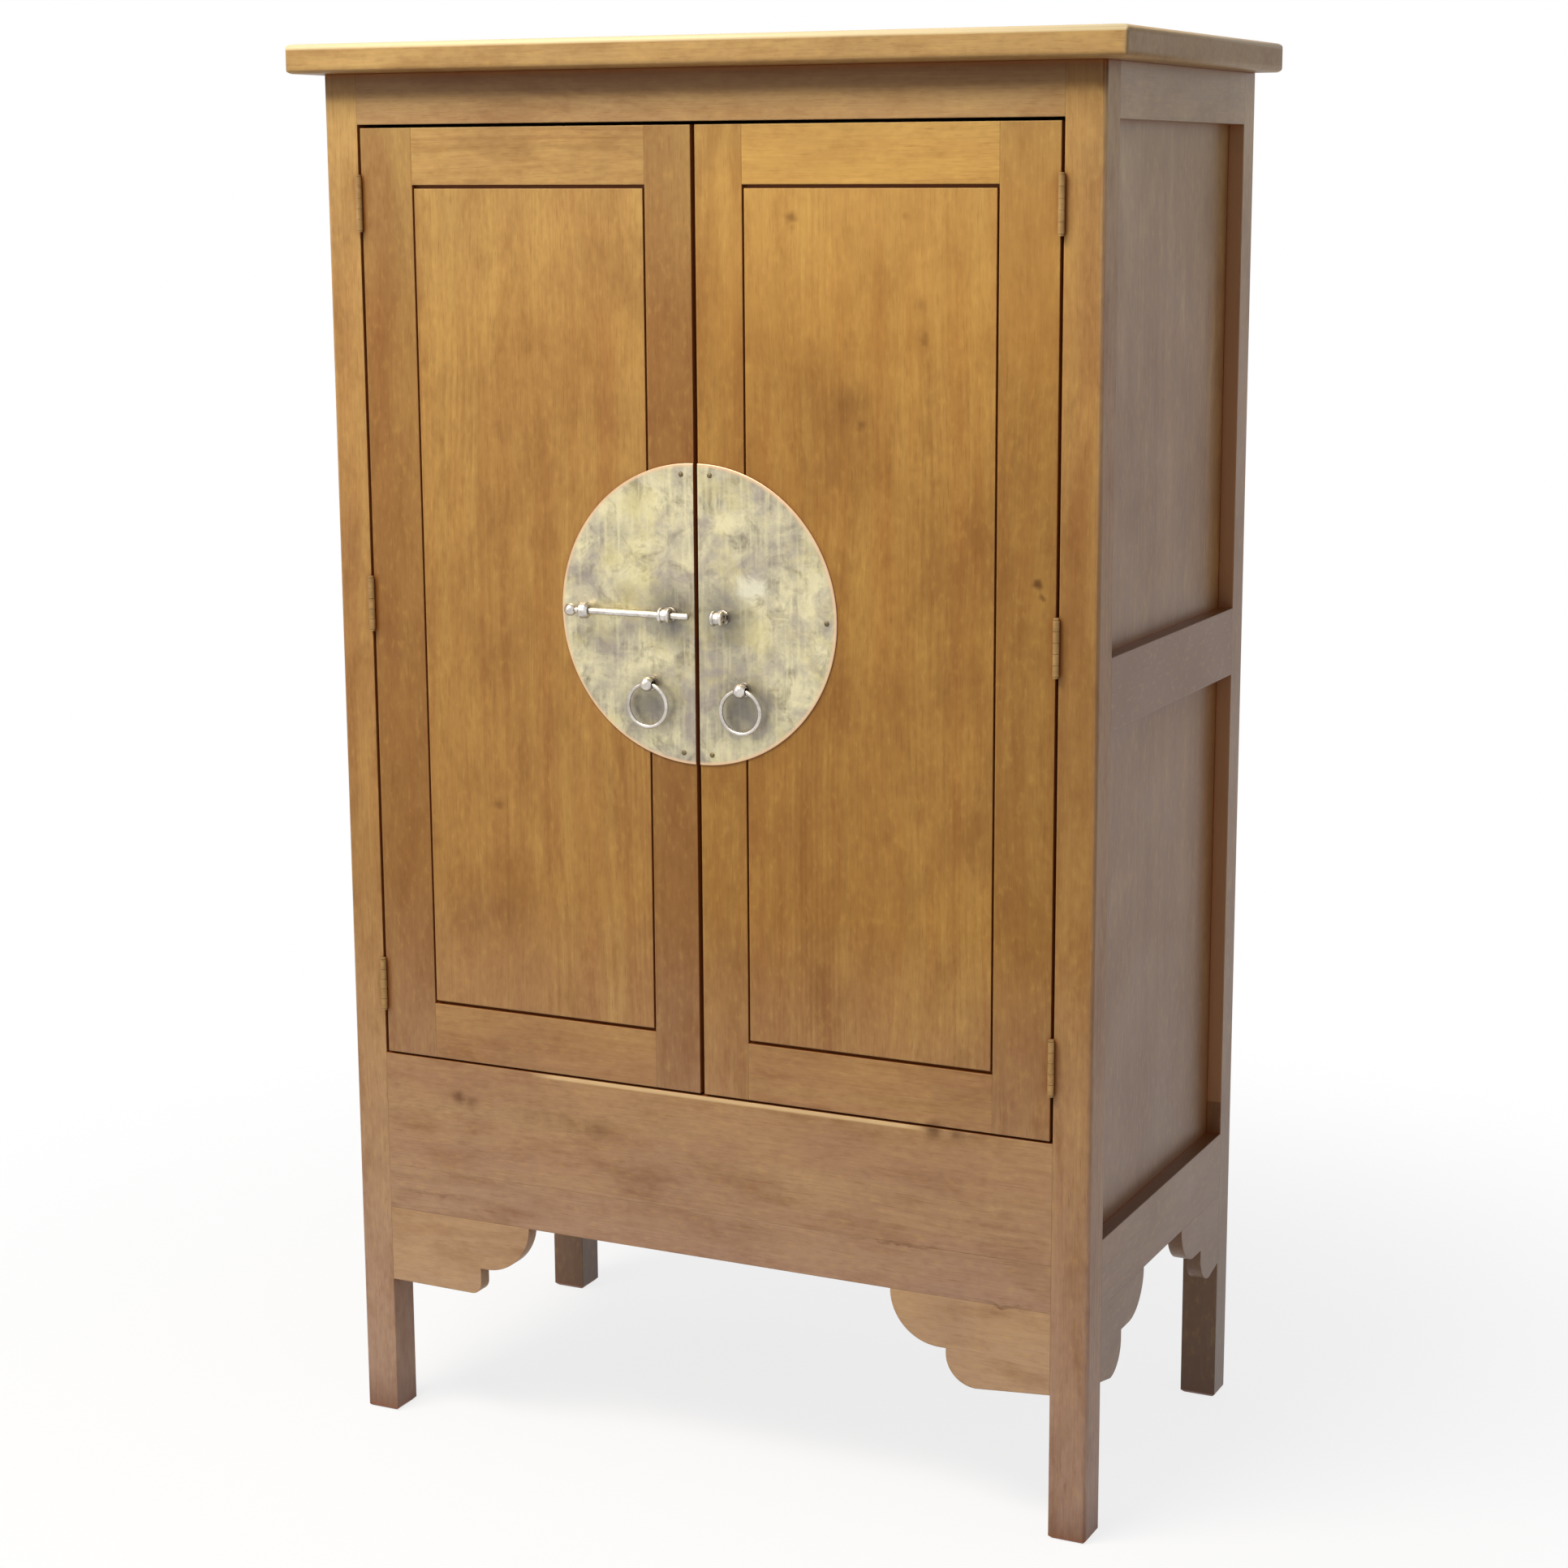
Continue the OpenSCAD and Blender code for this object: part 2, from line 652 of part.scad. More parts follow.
// Lug: a barrel with a bead at each end, bored for the bolt
module lug_section() {
  translate([0, -lug_l / 2]) square([waist_d / 2, lug_l]);
  for (end = [-1, 1]) translate([0, end * (lug_l / 2 - bead_r)]) {
    translate([0, -bead_r]) square([lug_d / 2 - bead_r, 2 * bead_r]);
    translate([lug_d / 2 - bead_r, 0]) circle(bead_r);
  }
}

module bolt_lug() color(bright_brass) translate([lug_x, bolt_y, lock_z]) difference() {
  union() {
    rotate([0, 90, 0]) rotate_extrude() lug_section();
    seat(bolt_stand);
  }
  translate([-lug_l, 0, 0]) rotate([0, 90, 0]) cylinder(h = 2 * lug_l, d = lug_bore_d);
}

// The bolt is drawn back into the left lug; it slides to the right through both lugs
module bolt() color(bright_brass) translate([drawn_tip_x - shank_l, bolt_y, lock_z]) rotate([0, 90, 0]) {
  cylinder(h = shank_l - tip_chamfer, d = rod_d);
  translate([0, 0, shank_l - tip_chamfer])
    cylinder(h = tip_chamfer, r1 = rod_d / 2, r2 = rod_d / 2 - tip_chamfer);
  translate([0, 0, -collar_l]) {
    cylinder(h = collar_chamfer, r1 = collar_d / 2 - collar_chamfer, r2 = collar_d / 2);
    translate([0, 0, collar_chamfer]) cylinder(h = collar_l - 2 * collar_chamfer, d = collar_d);
    translate([0, 0, collar_l - collar_chamfer])
      cylinder(h = collar_chamfer, r1 = collar_d / 2, r2 = collar_d / 2 - collar_chamfer);
  }
  translate([0, 0, -collar_l - neck_l - ball_d / 2]) {
    cylinder(h = neck_l + ball_d / 2 + cut, d = neck_d);
    sphere(d = ball_d);
  }
}

module ring_eye() color(bright_brass) translate([ring_x, eye_y, eye_z]) difference() {
  union() {
    rotate([0, 0, -90]) sphere(d = eye_d);
    seat(eye_stand);
  }
  translate([-eye_d, 0, 0]) rotate([0, 90, 0]) cylinder(h = 2 * eye_d, r = eye_bore_r);
}

module ring() color(bright_brass) translate([ring_x, eye_y, eye_z - ring_r]) rotate([90, 0, 0])
  rotate_extrude() translate([ring_r, 0]) circle(d = ring_wire_d);

top_board();
sided(left) front_post();  // front_left_post
sided(right) front_post();  // front_right_post
sided(left) rear_post();  // rear_left_post
sided(right) rear_post();  // rear_right_post
front_rail(front_top_rail);
front_rail(front_bottom_rail);
front_apron();
sided(left) front_bracket(left_bracket_h, left_lower_lobe, left_bracket_lift);  // front_left_bracket
sided(right) front_bracket(front_bracket_h, front_lower_lobe, bracket_lift);  // front_right_bracket
sided(left) side_rail(top_rail);  // left_top_rail
sided(left) side_rail(middle_rail);  // left_middle_rail
sided(left) side_rail(bottom_rail);  // left_bottom_rail
sided(left) side_panel(upper_opening);  // left_upper_panel
sided(left) side_panel(lower_opening);  // left_lower_panel
sided(left) side_front_bracket();  // left_side_front_bracket
sided(left) side_rear_bracket();  // left_side_rear_bracket
sided(right) side_rail(top_rail);  // right_top_rail
sided(right) side_rail(middle_rail);  // right_middle_rail
sided(right) side_rail(bottom_rail);  // right_bottom_rail
sided(right) side_panel(upper_opening);  // right_upper_panel
sided(right) side_panel(lower_opening);  // right_lower_panel
sided(right) side_front_bracket();  // right_side_front_bracket
sided(right) side_rear_bracket();  // right_side_rear_bracket
back_rail(top_rail);  // back_top_rail
back_rail(middle_rail);  // back_middle_rail
back_rail(bottom_rail);  // back_bottom_rail
back_panel(upper_opening);  // back_upper_panel
back_panel(lower_opening);  // back_lower_panel
floor_board();
shelf(lower_shelf_z);  // lower_shelf
shelf(upper_shelf_z);  // upper_shelf
shelf_cleats();
sided(left) door_outer_stile();  // left_door_outer_stile
sided(left) door_inner_stile();  // left_door_inner_stile
sided(left) door_rail(panel_top, door_top_rail_h);  // left_door_top_rail
sided(left) door_rail(door_bottom, door_bottom_rail_h);  // left_door_bottom_rail
sided(left) door_panel();  // left_door_panel
sided(right) door_outer_stile();  // right_door_outer_stile
sided(right) door_inner_stile();  // right_door_inner_stile
sided(right) door_rail(panel_top, door_top_rail_h);  // right_door_top_rail
sided(right) door_rail(door_bottom, door_bottom_rail_h);  // right_door_bottom_rail
sided(right) door_panel();  // right_door_panel
frame_hinge_leaves();
sided(left) door_hinge_leaves();  // left_door_hinge_leaves
sided(right) door_hinge_leaves();  // right_door_hinge_leaves
hinge_pins();
frame_hinge_screws();
sided(left) door_hinge_screws();  // left_door_hinge_screws
sided(right) door_hinge_screws();  // right_door_hinge_screws
sided(left) lock_plate();  // left_lock_plate
sided(right) lock_plate();  // right_lock_plate
sided(left) bolt_lug();  // left_bolt_lug
sided(right) bolt_lug();  // right_bolt_lug
bolt();
sided(left) ring_eye();  // left_ring_eye
sided(right) ring_eye();  // right_ring_eye
sided(left) ring();  // left_ring
sided(right) ring();  // right_ring
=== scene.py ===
# %% [markdown]
# # A two-door wedding armoire
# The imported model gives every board, hinge and lug its exact place and size. This lesson keeps those
# shapes and gives them what the eye knows the cabinet by: varnished elm cut from a log, a mottled brass
# plate, bright fittings that hands have rubbed, and soft studio light.

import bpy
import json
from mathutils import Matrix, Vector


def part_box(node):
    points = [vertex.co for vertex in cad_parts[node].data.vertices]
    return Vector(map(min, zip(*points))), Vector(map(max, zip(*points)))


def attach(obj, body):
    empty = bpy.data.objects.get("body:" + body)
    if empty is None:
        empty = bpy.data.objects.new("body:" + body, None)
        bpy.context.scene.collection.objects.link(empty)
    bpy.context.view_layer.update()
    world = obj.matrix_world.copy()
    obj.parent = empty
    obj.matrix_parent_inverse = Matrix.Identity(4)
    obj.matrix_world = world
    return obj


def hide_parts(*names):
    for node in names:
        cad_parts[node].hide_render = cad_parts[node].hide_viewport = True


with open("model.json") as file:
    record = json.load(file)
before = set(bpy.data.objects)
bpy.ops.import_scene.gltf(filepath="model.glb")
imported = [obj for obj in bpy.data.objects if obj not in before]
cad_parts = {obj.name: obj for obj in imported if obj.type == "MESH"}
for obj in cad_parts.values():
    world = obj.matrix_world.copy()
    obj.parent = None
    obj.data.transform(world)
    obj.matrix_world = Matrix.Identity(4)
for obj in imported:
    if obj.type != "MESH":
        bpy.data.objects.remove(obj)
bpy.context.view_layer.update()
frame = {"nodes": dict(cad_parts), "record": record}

# %% [markdown]
# ## The camera
# The lens and the camera's place come from a fit to the cabinet's long edges: it stands at eye height,
# to the right of the doors and about four metres away. A 70 mm lens on a 36 mm sensor keeps the same
# mild perspective, and a very small shift centres the frame as the picture is centred.

# %% Camera
import json
import math

import bpy
from mathutils import Matrix, Vector

LENS_MM = 70.0
SENSOR_MM = 36.0
CAMERA_PLACE = Vector((1.7058, -3.5280, 1.6347))
CAMERA_YAW = 0.4400
CAMERA_PITCH = -0.1971
CAMERA_ROLL = -0.0030
CAMERA_SHIFT = (-0.0243, 0.0022)

camera_data = bpy.data.cameras.new("camera")
camera_data.lens = LENS_MM
camera_data.sensor_width = SENSOR_MM
camera_data.shift_x, camera_data.shift_y = CAMERA_SHIFT
camera = bpy.data.objects.new("camera", camera_data)
camera.matrix_world = (
    Matrix.Translation(CAMERA_PLACE)
    @ Matrix.Rotation(CAMERA_YAW, 4, "Z")
    @ Matrix.Rotation(math.pi / 2 + CAMERA_PITCH, 4, "X")
    @ Matrix.Rotation(CAMERA_ROLL, 4, "Z")
)
bpy.context.collection.objects.link(camera)
bpy.context.scene.camera = camera
print("camera at", [round(v, 3) for v in CAMERA_PLACE])

# %% [markdown]
# ## Four helpers for every material
# Colours are written as the hex values that a painter would pick on screen, and one function turns them
# into the linear values that light is added up in. The next adds one node, sets it and joins it. A finish is
# built like a real one, in thin coats over a ground, so the last two start a bare material and lay the coats.

# %% Colour and node helpers
MM = 0.001


def srgb(text):
    """The linear colour of a hex value such as #B08545."""
    channels = [int(text[i:i + 2], 16) / 255 for i in (1, 3, 5)]
    return [c / 12.92 if c <= 0.04045 else ((c + 0.055) / 1.055) ** 2.4 for c in channels] + [1.0]


def add(tree, kind, inputs=None, **settings):
    """Adds a node, sets it, and gives each named input a value or a link."""
    node = tree.nodes.new(kind)
    for setting, value in settings.items():
        setattr(node, setting, value)
    for socket, value in (inputs or {}).items():
        if isinstance(value, bpy.types.NodeSocket):
            tree.links.new(value, node.inputs[socket])
        else:
            node.inputs[socket].default_value = value
    return node


def bare_material(name):
    """A material whose node tree holds nothing yet."""
    material = bpy.data.materials.new(name)
    material.use_nodes = True
    material.node_tree.nodes.clear()
    return material


def lay_coats(tree, ground, coats):
    """Colours over a ground. A coat is a socket, where its range starts and stops, its cover and colour."""
    colour = srgb(ground)
    for socket, start, stop, cover, tone in coats:
        share = add(tree, "ShaderNodeMapRange", {
            "Value": socket, "From Min": start, "From Max": stop, "To Max": cover,
        })
        colour = add(tree, "ShaderNodeMix", {"Factor": share.outputs[0], "A": colour, "B": srgb(tone)},
                     data_type="RGBA").outputs["Result"]
    return colour


print("honey in linear light:", [round(v, 3) for v in srgb("#B08545")])

# %% [markdown]
# ## Elm, sawn out of a log
# A board shows long arches and stripes because it is a slanted slice through growth rings. Painting
# stripes on each board would look like wallpaper, and a pattern in room coordinates would run on from one
# board into the next. So each board carries an attribute that says where it sat in its log: along the
# trunk, and across it from the pith. One solid wood pattern then draws every board, and each differs.
# Two more attributes say how each face took its stain, with painted shade on the faces to the left and right,
# and which faces are end grain.

# %% A board and where it sat in its log
import bmesh

# Which axis runs along the grain, which across the board's face and which through it
GRAIN_AXES = {"upright": (2, 0, 1), "level": (0, 2, 1), "deep": (1, 2, 0)}
# Boards lie metres apart in the trunk, 35 to 137 mm from its pith, and were sawn a little off its line
TRUNK_STEP = 2.3
PITH_MIN = 35 * MM
PITH_STEP = 17 * MM
PITH_CHOICES = 7
PITH_STRIDE = 3
LEAN_STEP = 0.011
LEAN_CHOICES = 5
LEAN_STRIDE = 2
LEAN_ASIDE = 0.3
# How squarely a face must look along the grain to be end grain, from none of it to all of it
END_GRAIN_FROM = 0.45
END_GRAIN_FULL = 0.95
WELD = 0.01 * MM
ATTRIBUTES = {
    "log": ("FLOAT_VECTOR", "POINT"), "stain": ("FLOAT_VECTOR", "FACE"), "end_grain": ("FLOAT", "FACE"),
}


def board(node, direction, number, stain, side_shade_grey):
    """A merged copy of a wooden node that knows its place in the log, how it took the stain, and its painted
    side shade.
    """
    piece = bpy.data.objects.new(node + "_board", frame["nodes"][node].data.copy())
    bpy.context.collection.objects.link(piece)
    mesh = piece.data
    shell = bmesh.new()
    shell.from_mesh(mesh)
    bmesh.ops.remove_doubles(shell, verts=shell.verts, dist=WELD)
    shell.to_mesh(mesh)
    shell.free()

    low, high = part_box(node)
    middle = (low + high) / 2
    along, across, through = GRAIN_AXES[direction]
    pith = PITH_MIN + PITH_STEP * (number * PITH_STRIDE % PITH_CHOICES)
    lean = LEAN_STEP * (number * LEAN_STRIDE % LEAN_CHOICES - LEAN_CHOICES // 2)
    for name, (kind, domain) in ATTRIBUTES.items():
        mesh.attributes.new(name, kind, domain)
    log, tint, end = [mesh.attributes[name] for name in ATTRIBUTES]
    for vertex, place in zip(mesh.vertices, log.data):
        offset = vertex.co - middle
        depth = offset[through] + pith + lean * offset[along]
        place.vector = (offset[along] + TRUNK_STEP * number, offset[across] + LEAN_ASIDE * lean, depth)
    dark, grey, pale = stain
    for face, taken, share in zip(mesh.polygons, tint.data, end.data):
        # Faces that look to the left or right are made greyer: painted shade
        taken.vector = (dark, min(1.0, grey + side_shade_grey * abs(face.normal.x)), pale)
        squarely = (abs(face.normal[along]) - END_GRAIN_FROM) / (END_GRAIN_FULL - END_GRAIN_FROM)
        share.value = max(0.0, min(1.0, squarely))
    return piece


print("attributes of a board:", sorted(ATTRIBUTES))

# %% [markdown]
# ## The grain
# The eye reads elm by four things. Growth rings come and go, because the trunk is never round and wet
# years make wide rings. Between them run soft bands as wide as a finger, fibres that are finer, and pores
# that show as short dark dashes. Each is long noise: many across the board, few along it. The finest are
# drawn a little coarser than they are, so that they still show from a step away.

# %% Rings, bands, fibres and pores
RING_MM = 8.0
RING_DRIFT = 9.0
RINGS_SHOW_FROM = 0.40
RINGS_SHOW_FULL = 0.66
WET_YEARS_MM = 30
# The trunk wavers slowly along its length, by up to about 20 mm to each side
WAVER_SCALE = (1.3, 9.0, 9.0)
WAVER_SWING = (0, 0.045, 0.045)
BAND_MM = 36
BLOTCH_MM = 34
FIBRE_MM = 2.4
PORE_MM = 1.1
FIGURE_MM = 7
# How many to the metre along the board and across it, the detail and the roughness of each noise
GRAINS = {
    "bands": (1.1, 1000 / BAND_MM, 4.0, 0.62),
    "blotches": (11.0, 1000 / BLOTCH_MM, 4.0, 0.60),
    "fibres": (9.0, 1000 / FIBRE_MM, 3.0, 0.55),
    "pores": (30.0, 1000 / PORE_MM, 1.0, 0.50),
    "figure": (70.0, 1000 / FIGURE_MM, 2.0, 0.50),
}


def grain(tree, log):
    """Noises from 0 to 1 that follow the grain, by name, and one wave for the growth rings."""
    loose = add(tree, "ShaderNodeVectorMath", {0: log, 1: WAVER_SCALE}, operation="MULTIPLY")
    waver = add(tree, "ShaderNodeTexNoise", {"Vector": loose.outputs[0], "Scale": 1.0, "Detail": 2.0})
    centred = add(tree, "ShaderNodeVectorMath", {0: waver.outputs["Color"], 1: (0.5, 0.5, 0.5)},
                  operation="SUBTRACT")
    swing = add(tree, "ShaderNodeVectorMath", {0: centred.outputs[0], 1: WAVER_SWING},
                operation="MULTIPLY")
    bent = add(tree, "ShaderNodeVectorMath", {0: log, 1: swing.outputs[0]}, operation="ADD").outputs[0]

    # Rings are the distance from the pith turned into a wave, whose steps drift with wet and dry years
    across = add(tree, "ShaderNodeVectorMath", {0: bent, 1: (0, 1, 1)}, operation="MULTIPLY")
    radius = add(tree, "ShaderNodeVectorMath", {0: across.outputs[0]}, operation="LENGTH").outputs["Value"]
    years = add(tree, "ShaderNodeTexNoise", {"W": radius, "Scale": 1000 / WET_YEARS_MM, "Detail": 2.0},
                noise_dimensions="1D")
    drift = add(tree, "ShaderNodeMath", {0: years.outputs["Fac"], 1: RING_DRIFT}, operation="MULTIPLY")
    phase = add(tree, "ShaderNodeMath", {0: radius, 1: 2 * math.pi / (RING_MM * MM), 2: drift.outputs[0]},
                operation="MULTIPLY_ADD")
    wave = add(tree, "ShaderNodeMath", {0: phase.outputs[0]}, operation="SINE")
    shown = add(tree, "ShaderNodeMapRange", {
        "Value": waver.outputs["Fac"], "From Min": RINGS_SHOW_FROM, "From Max": RINGS_SHOW_FULL,
    })
    rings = {"Value": wave.outputs[0], "From Min": -1.0, "To Max": shown.outputs[0]}
    found = {"rings": add(tree, "ShaderNodeMapRange", rings).outputs[0]}
    for name, (along, over, detail, rough) in GRAINS.items():
        scaled = add(tree, "ShaderNodeVectorMath", {0: bent, 1: (along, over, over)}, operation="MULTIPLY")
        found[name] = add(tree, "ShaderNodeTexNoise", {
            "Vector": scaled.outputs[0], "Scale": 1.0, "Detail": detail, "Roughness": rough,
        }).outputs["Fac"]
    return found


print("noises along the grain:", sorted(GRAINS))

# %% [markdown]
# ## Knots
# A few dark pin knots sit in the door panels, the stiles and the deep rail. A noise could scatter them, but
# these belong to places on the cabinet, so a table measures them from its middle and from the floor. Round
# spots would look stamped, so a noise first bends the space that they are measured in.

# %% Knots
FRONT_FACE_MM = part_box("front_bottom_rail")[0].y / MM
SILL_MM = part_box("front_bottom_rail")[1].z / MM
DARK_HEART = "#4A2408"
# Across, height, radius and strength of each knot
KNOTS_MM = [
    (128, 1589, 12, 0.80), (131, 1577, 7, 0.35), (275, 1592, 9, 0.30), (296, 1492, 14, 0.32),
    (299, 1451, 10, 0.50), (218, 1352, 10, 0.45), (206, 1378, 34, 0.28), (-288, 855, 11, 0.50),
    (-360, 456, 17, 0.60), (-341, 452, 14, 0.40), (444, 1175, 9, 0.85), (447, 1160, 6, 0.60),
    (315, SILL_MM - 2, 20, 0.70), (345, SILL_MM - 4, 14, 0.50),
]
# How far outlines are bent, and how many bends there are to the metre
WARP_MM = 16
RAGGED_SCALE = 60.0


def bend(tree, room):
    """The place on the cabinet, moved about by a noise so that what is measured in it has ragged edges."""
    ragged = add(tree, "ShaderNodeTexNoise", {"Vector": room, "Scale": RAGGED_SCALE, "Detail": 3.0})
    warp = WARP_MM * MM
    return add(tree, "ShaderNodeVectorMath", {
        0: ragged.outputs["Color"], 1: (warp, warp, warp), 2: room,
    }, operation="MULTIPLY_ADD").outputs[0]


def knot_coat(tree, bent_room):
    """One coat for all the knots."""
    near = 0.0
    for x, z, size, strength in KNOTS_MM:
        spot = Vector((x + WARP_MM / 2, FRONT_FACE_MM + WARP_MM / 2, z + WARP_MM / 2)) * MM
        away = add(tree, "ShaderNodeVectorMath", {0: bent_room, 1: spot}, operation="DISTANCE")
        share = add(tree, "ShaderNodeMapRange", {
            "Value": away.outputs["Value"], "From Min": size * MM, "From Max": 0.0, "To Max": strength,
        }, interpolation_type="SMOOTHSTEP")
        near = add(tree, "ShaderNodeMath", {0: share.outputs[0], 1: near}, operation="MAXIMUM").outputs[0]
    return near, 0.0, 1.0, 1.0, DARK_HEART


print("knots:", len(KNOTS_MM))

# %% [markdown]
# ## Marks, and painted light and shade
# A painted highlight runs along the deep rail's upper edge and along the top board's whole front edge,
# painted shade lies under the top board and on the right post, painted sunlight lies on the upper right, and
# dark lines lie along seams and marks below. A second table gives these lines. A straight line with soft
# sides does for a highlight along an edge, and the bent space makes a dark line wander.

# %% Lines
SEAM_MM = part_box("front_bottom_rail")[0].z / MM
HALF_WIDTH_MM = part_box("top_board")[1].x / MM
UNDER_BOARD_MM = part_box("front_top_rail")[1].z / MM
RAIL_EDGE_HIGHLIGHT = "#DCBC8A"
SUNLIGHT_POOL_GOLD = "#DCA24E"
UMBER = "#70441A"
# Start and end across, height, width, how far it wanders, cover and colour of each line; the first is a
# painted highlight on the deep rail's edge, the sixth painted shade under the top board, and the last two, as
# broad as a hand or more, are painted sunlight on the upper right and painted shade on the right post
LINES_MM = [
    # First a painted highlight on the deep rail's upper edge, then dark lines at seams and marks
    (-250, 310, SILL_MM - 2, 5, 0, 0.70, RAIL_EDGE_HIGHLIGHT), (-293, -101, 441, 20, 16, 0.22, DARK_HEART),
    (200, 330, SEAM_MM, 3, 16, 0.45, DARK_HEART), (375, 450, 291, 4, 16, 0.60, DARK_HEART),
    (-470, -330, 318, 4, 16, 0.25, DARK_HEART),
    # Painted shade under the top board's overhang
    (-HALF_WIDTH_MM, HALF_WIDTH_MM, UNDER_BOARD_MM - 14, 24, 0, 0.50, DARK_HEART),
    # A pool of painted sunlight on the upper right, and painted shade on the right post
    (0, 500, 1560, 190, 0, 0.15, SUNLIGHT_POOL_GOLD), (440, 600, 1050, 420, 0, 0.27, UMBER),
]
# Lines stay on faces that lie no deeper than this behind the deep rail's
FRONT_DEPTH_MM = 8
# The noise along the front that breaks up the lines that wander
PATCHY_SCALE = 24.0
PATCHY_FROM = 0.30
PATCHY_FULL = 0.62
# The part of a line's width that has its full colour, and how far it takes to fade out at its ends
LINE_CORE = 0.3
LINE_FADE_MM = 35
# The painted highlight along the top board's rounded front edge: its colour, the edge, its reach and cover
BOARD_EDGE_HIGHLIGHT = "#F3E3B4"
BOARD_ARRIS = Vector((0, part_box("top_board")[0].y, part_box("top_board")[1].z))
ARRIS_HIGHLIGHT_MM = 8
ARRIS_HIGHLIGHT_COVER = 0.85


def edge_highlight_coat(tree, room):
    """A painted highlight along the top board's front edge, which is a line in space seen along its length.
    """
    section = add(tree, "ShaderNodeVectorMath", {0: room, 1: (0, 1, 1)}, operation="MULTIPLY")
    away = add(tree, "ShaderNodeVectorMath", {0: section.outputs[0], 1: BOARD_ARRIS}, operation="DISTANCE")
    return away.outputs["Value"], ARRIS_HIGHLIGHT_MM * MM, ARRIS_HIGHLIGHT_MM / 2 * MM, ARRIS_HIGHLIGHT_COVER, BOARD_EDGE_HIGHLIGHT


def line_coats(tree, room, bent_room):
    """One coat for each line."""
    straight = add(tree, "ShaderNodeSeparateXYZ", {"Vector": room}).outputs
    wandering = add(tree, "ShaderNodeSeparateXYZ", {"Vector": bent_room}).outputs
    patchy = add(tree, "ShaderNodeTexNoise", {"W": straight["X"], "Scale": PATCHY_SCALE, "Detail": 3.0},
                 noise_dimensions="1D").outputs["Fac"]
    there = add(tree, "ShaderNodeMapRange", {
        "Value": patchy, "From Min": PATCHY_FROM, "From Max": PATCHY_FULL,
    }).outputs[0]
    front = add(tree, "ShaderNodeMath", {0: straight["Y"], 1: (FRONT_FACE_MM + FRONT_DEPTH_MM) * MM},
                operation="LESS_THAN").outputs[0]
    coats = []
    for start, stop, level, width, wander, cover, tone in LINES_MM:
        height = wandering["Z"] if wander else straight["Z"]
        off = add(tree, "ShaderNodeMath", {0: height, 1: (level + wander / 2) * MM}, operation="SUBTRACT")
        gap = add(tree, "ShaderNodeMath", {0: off.outputs[0]}, operation="ABSOLUTE")
        line = add(tree, "ShaderNodeMapRange", {
            "Value": gap.outputs[0], "From Min": width * MM, "From Max": LINE_CORE * width * MM,
        }, interpolation_type="SMOOTHSTEP")
        middle = (start + stop) / 2 * MM
        off = add(tree, "ShaderNodeMath", {0: straight["X"], 1: middle}, operation="SUBTRACT")
        along = add(tree, "ShaderNodeMath", {0: off.outputs[0]}, operation="ABSOLUTE")
        reach = (stop - start) / 2 * MM
        ends = add(tree, "ShaderNodeMapRange", {
            "Value": along.outputs[0], "From Min": reach, "From Max": reach - LINE_FADE_MM * MM,
        })
        ended = add(tree, "ShaderNodeMath", {0: ends.outputs[0], 1: front}, operation="MULTIPLY")
        part = add(tree, "ShaderNodeMath", {0: line.outputs[0], 1: ended.outputs[0]}, operation="MULTIPLY")
        kept = add(tree, "ShaderNodeMath", {0: part.outputs[0], 1: there if wander else 1.0},
                   operation="MULTIPLY")
        coats.append((kept.outputs[0], 0.0, 1.0, cover, tone))
    return coats


print("lines:", len(LINES_MM))

# %% [markdown]
# ## Stain
# Old elm furniture is stained honey brown. The stain took unevenly, so hand-wide clouds are darker. Light
# and shade are painted in as well: the upper parts paler and more golden as lit from above, the wood darker
# and greyer lower down, and the faces to the left and right greyer. One colour with a noise on it would look
# like paint, so each of these is a thin coat of its own. The grain's coats come last, because pores and
# fibres stay dark in wood that has faded.

# %% Coats of stain
UPPER_LIGHT_STRAW = "#B7A268"
PALE_GOLD = "#D4AA58"
CLOUD_MM = 190
# The heights in metres where each tone of painted light and shade begins and is full, its cover and its
# colour
HEIGHT_LIGHT_AND_SHADE = [(1.50, 1.00, 0.20, UMBER), (1.45, 1.75, 0.28, UPPER_LIGHT_STRAW)]
# Painted shade: greyer from this height down to the floor, and how grey it is there
FLOOR_SHADE_FROM = 0.75
FLOOR_SHADE_SHARE = 0.90


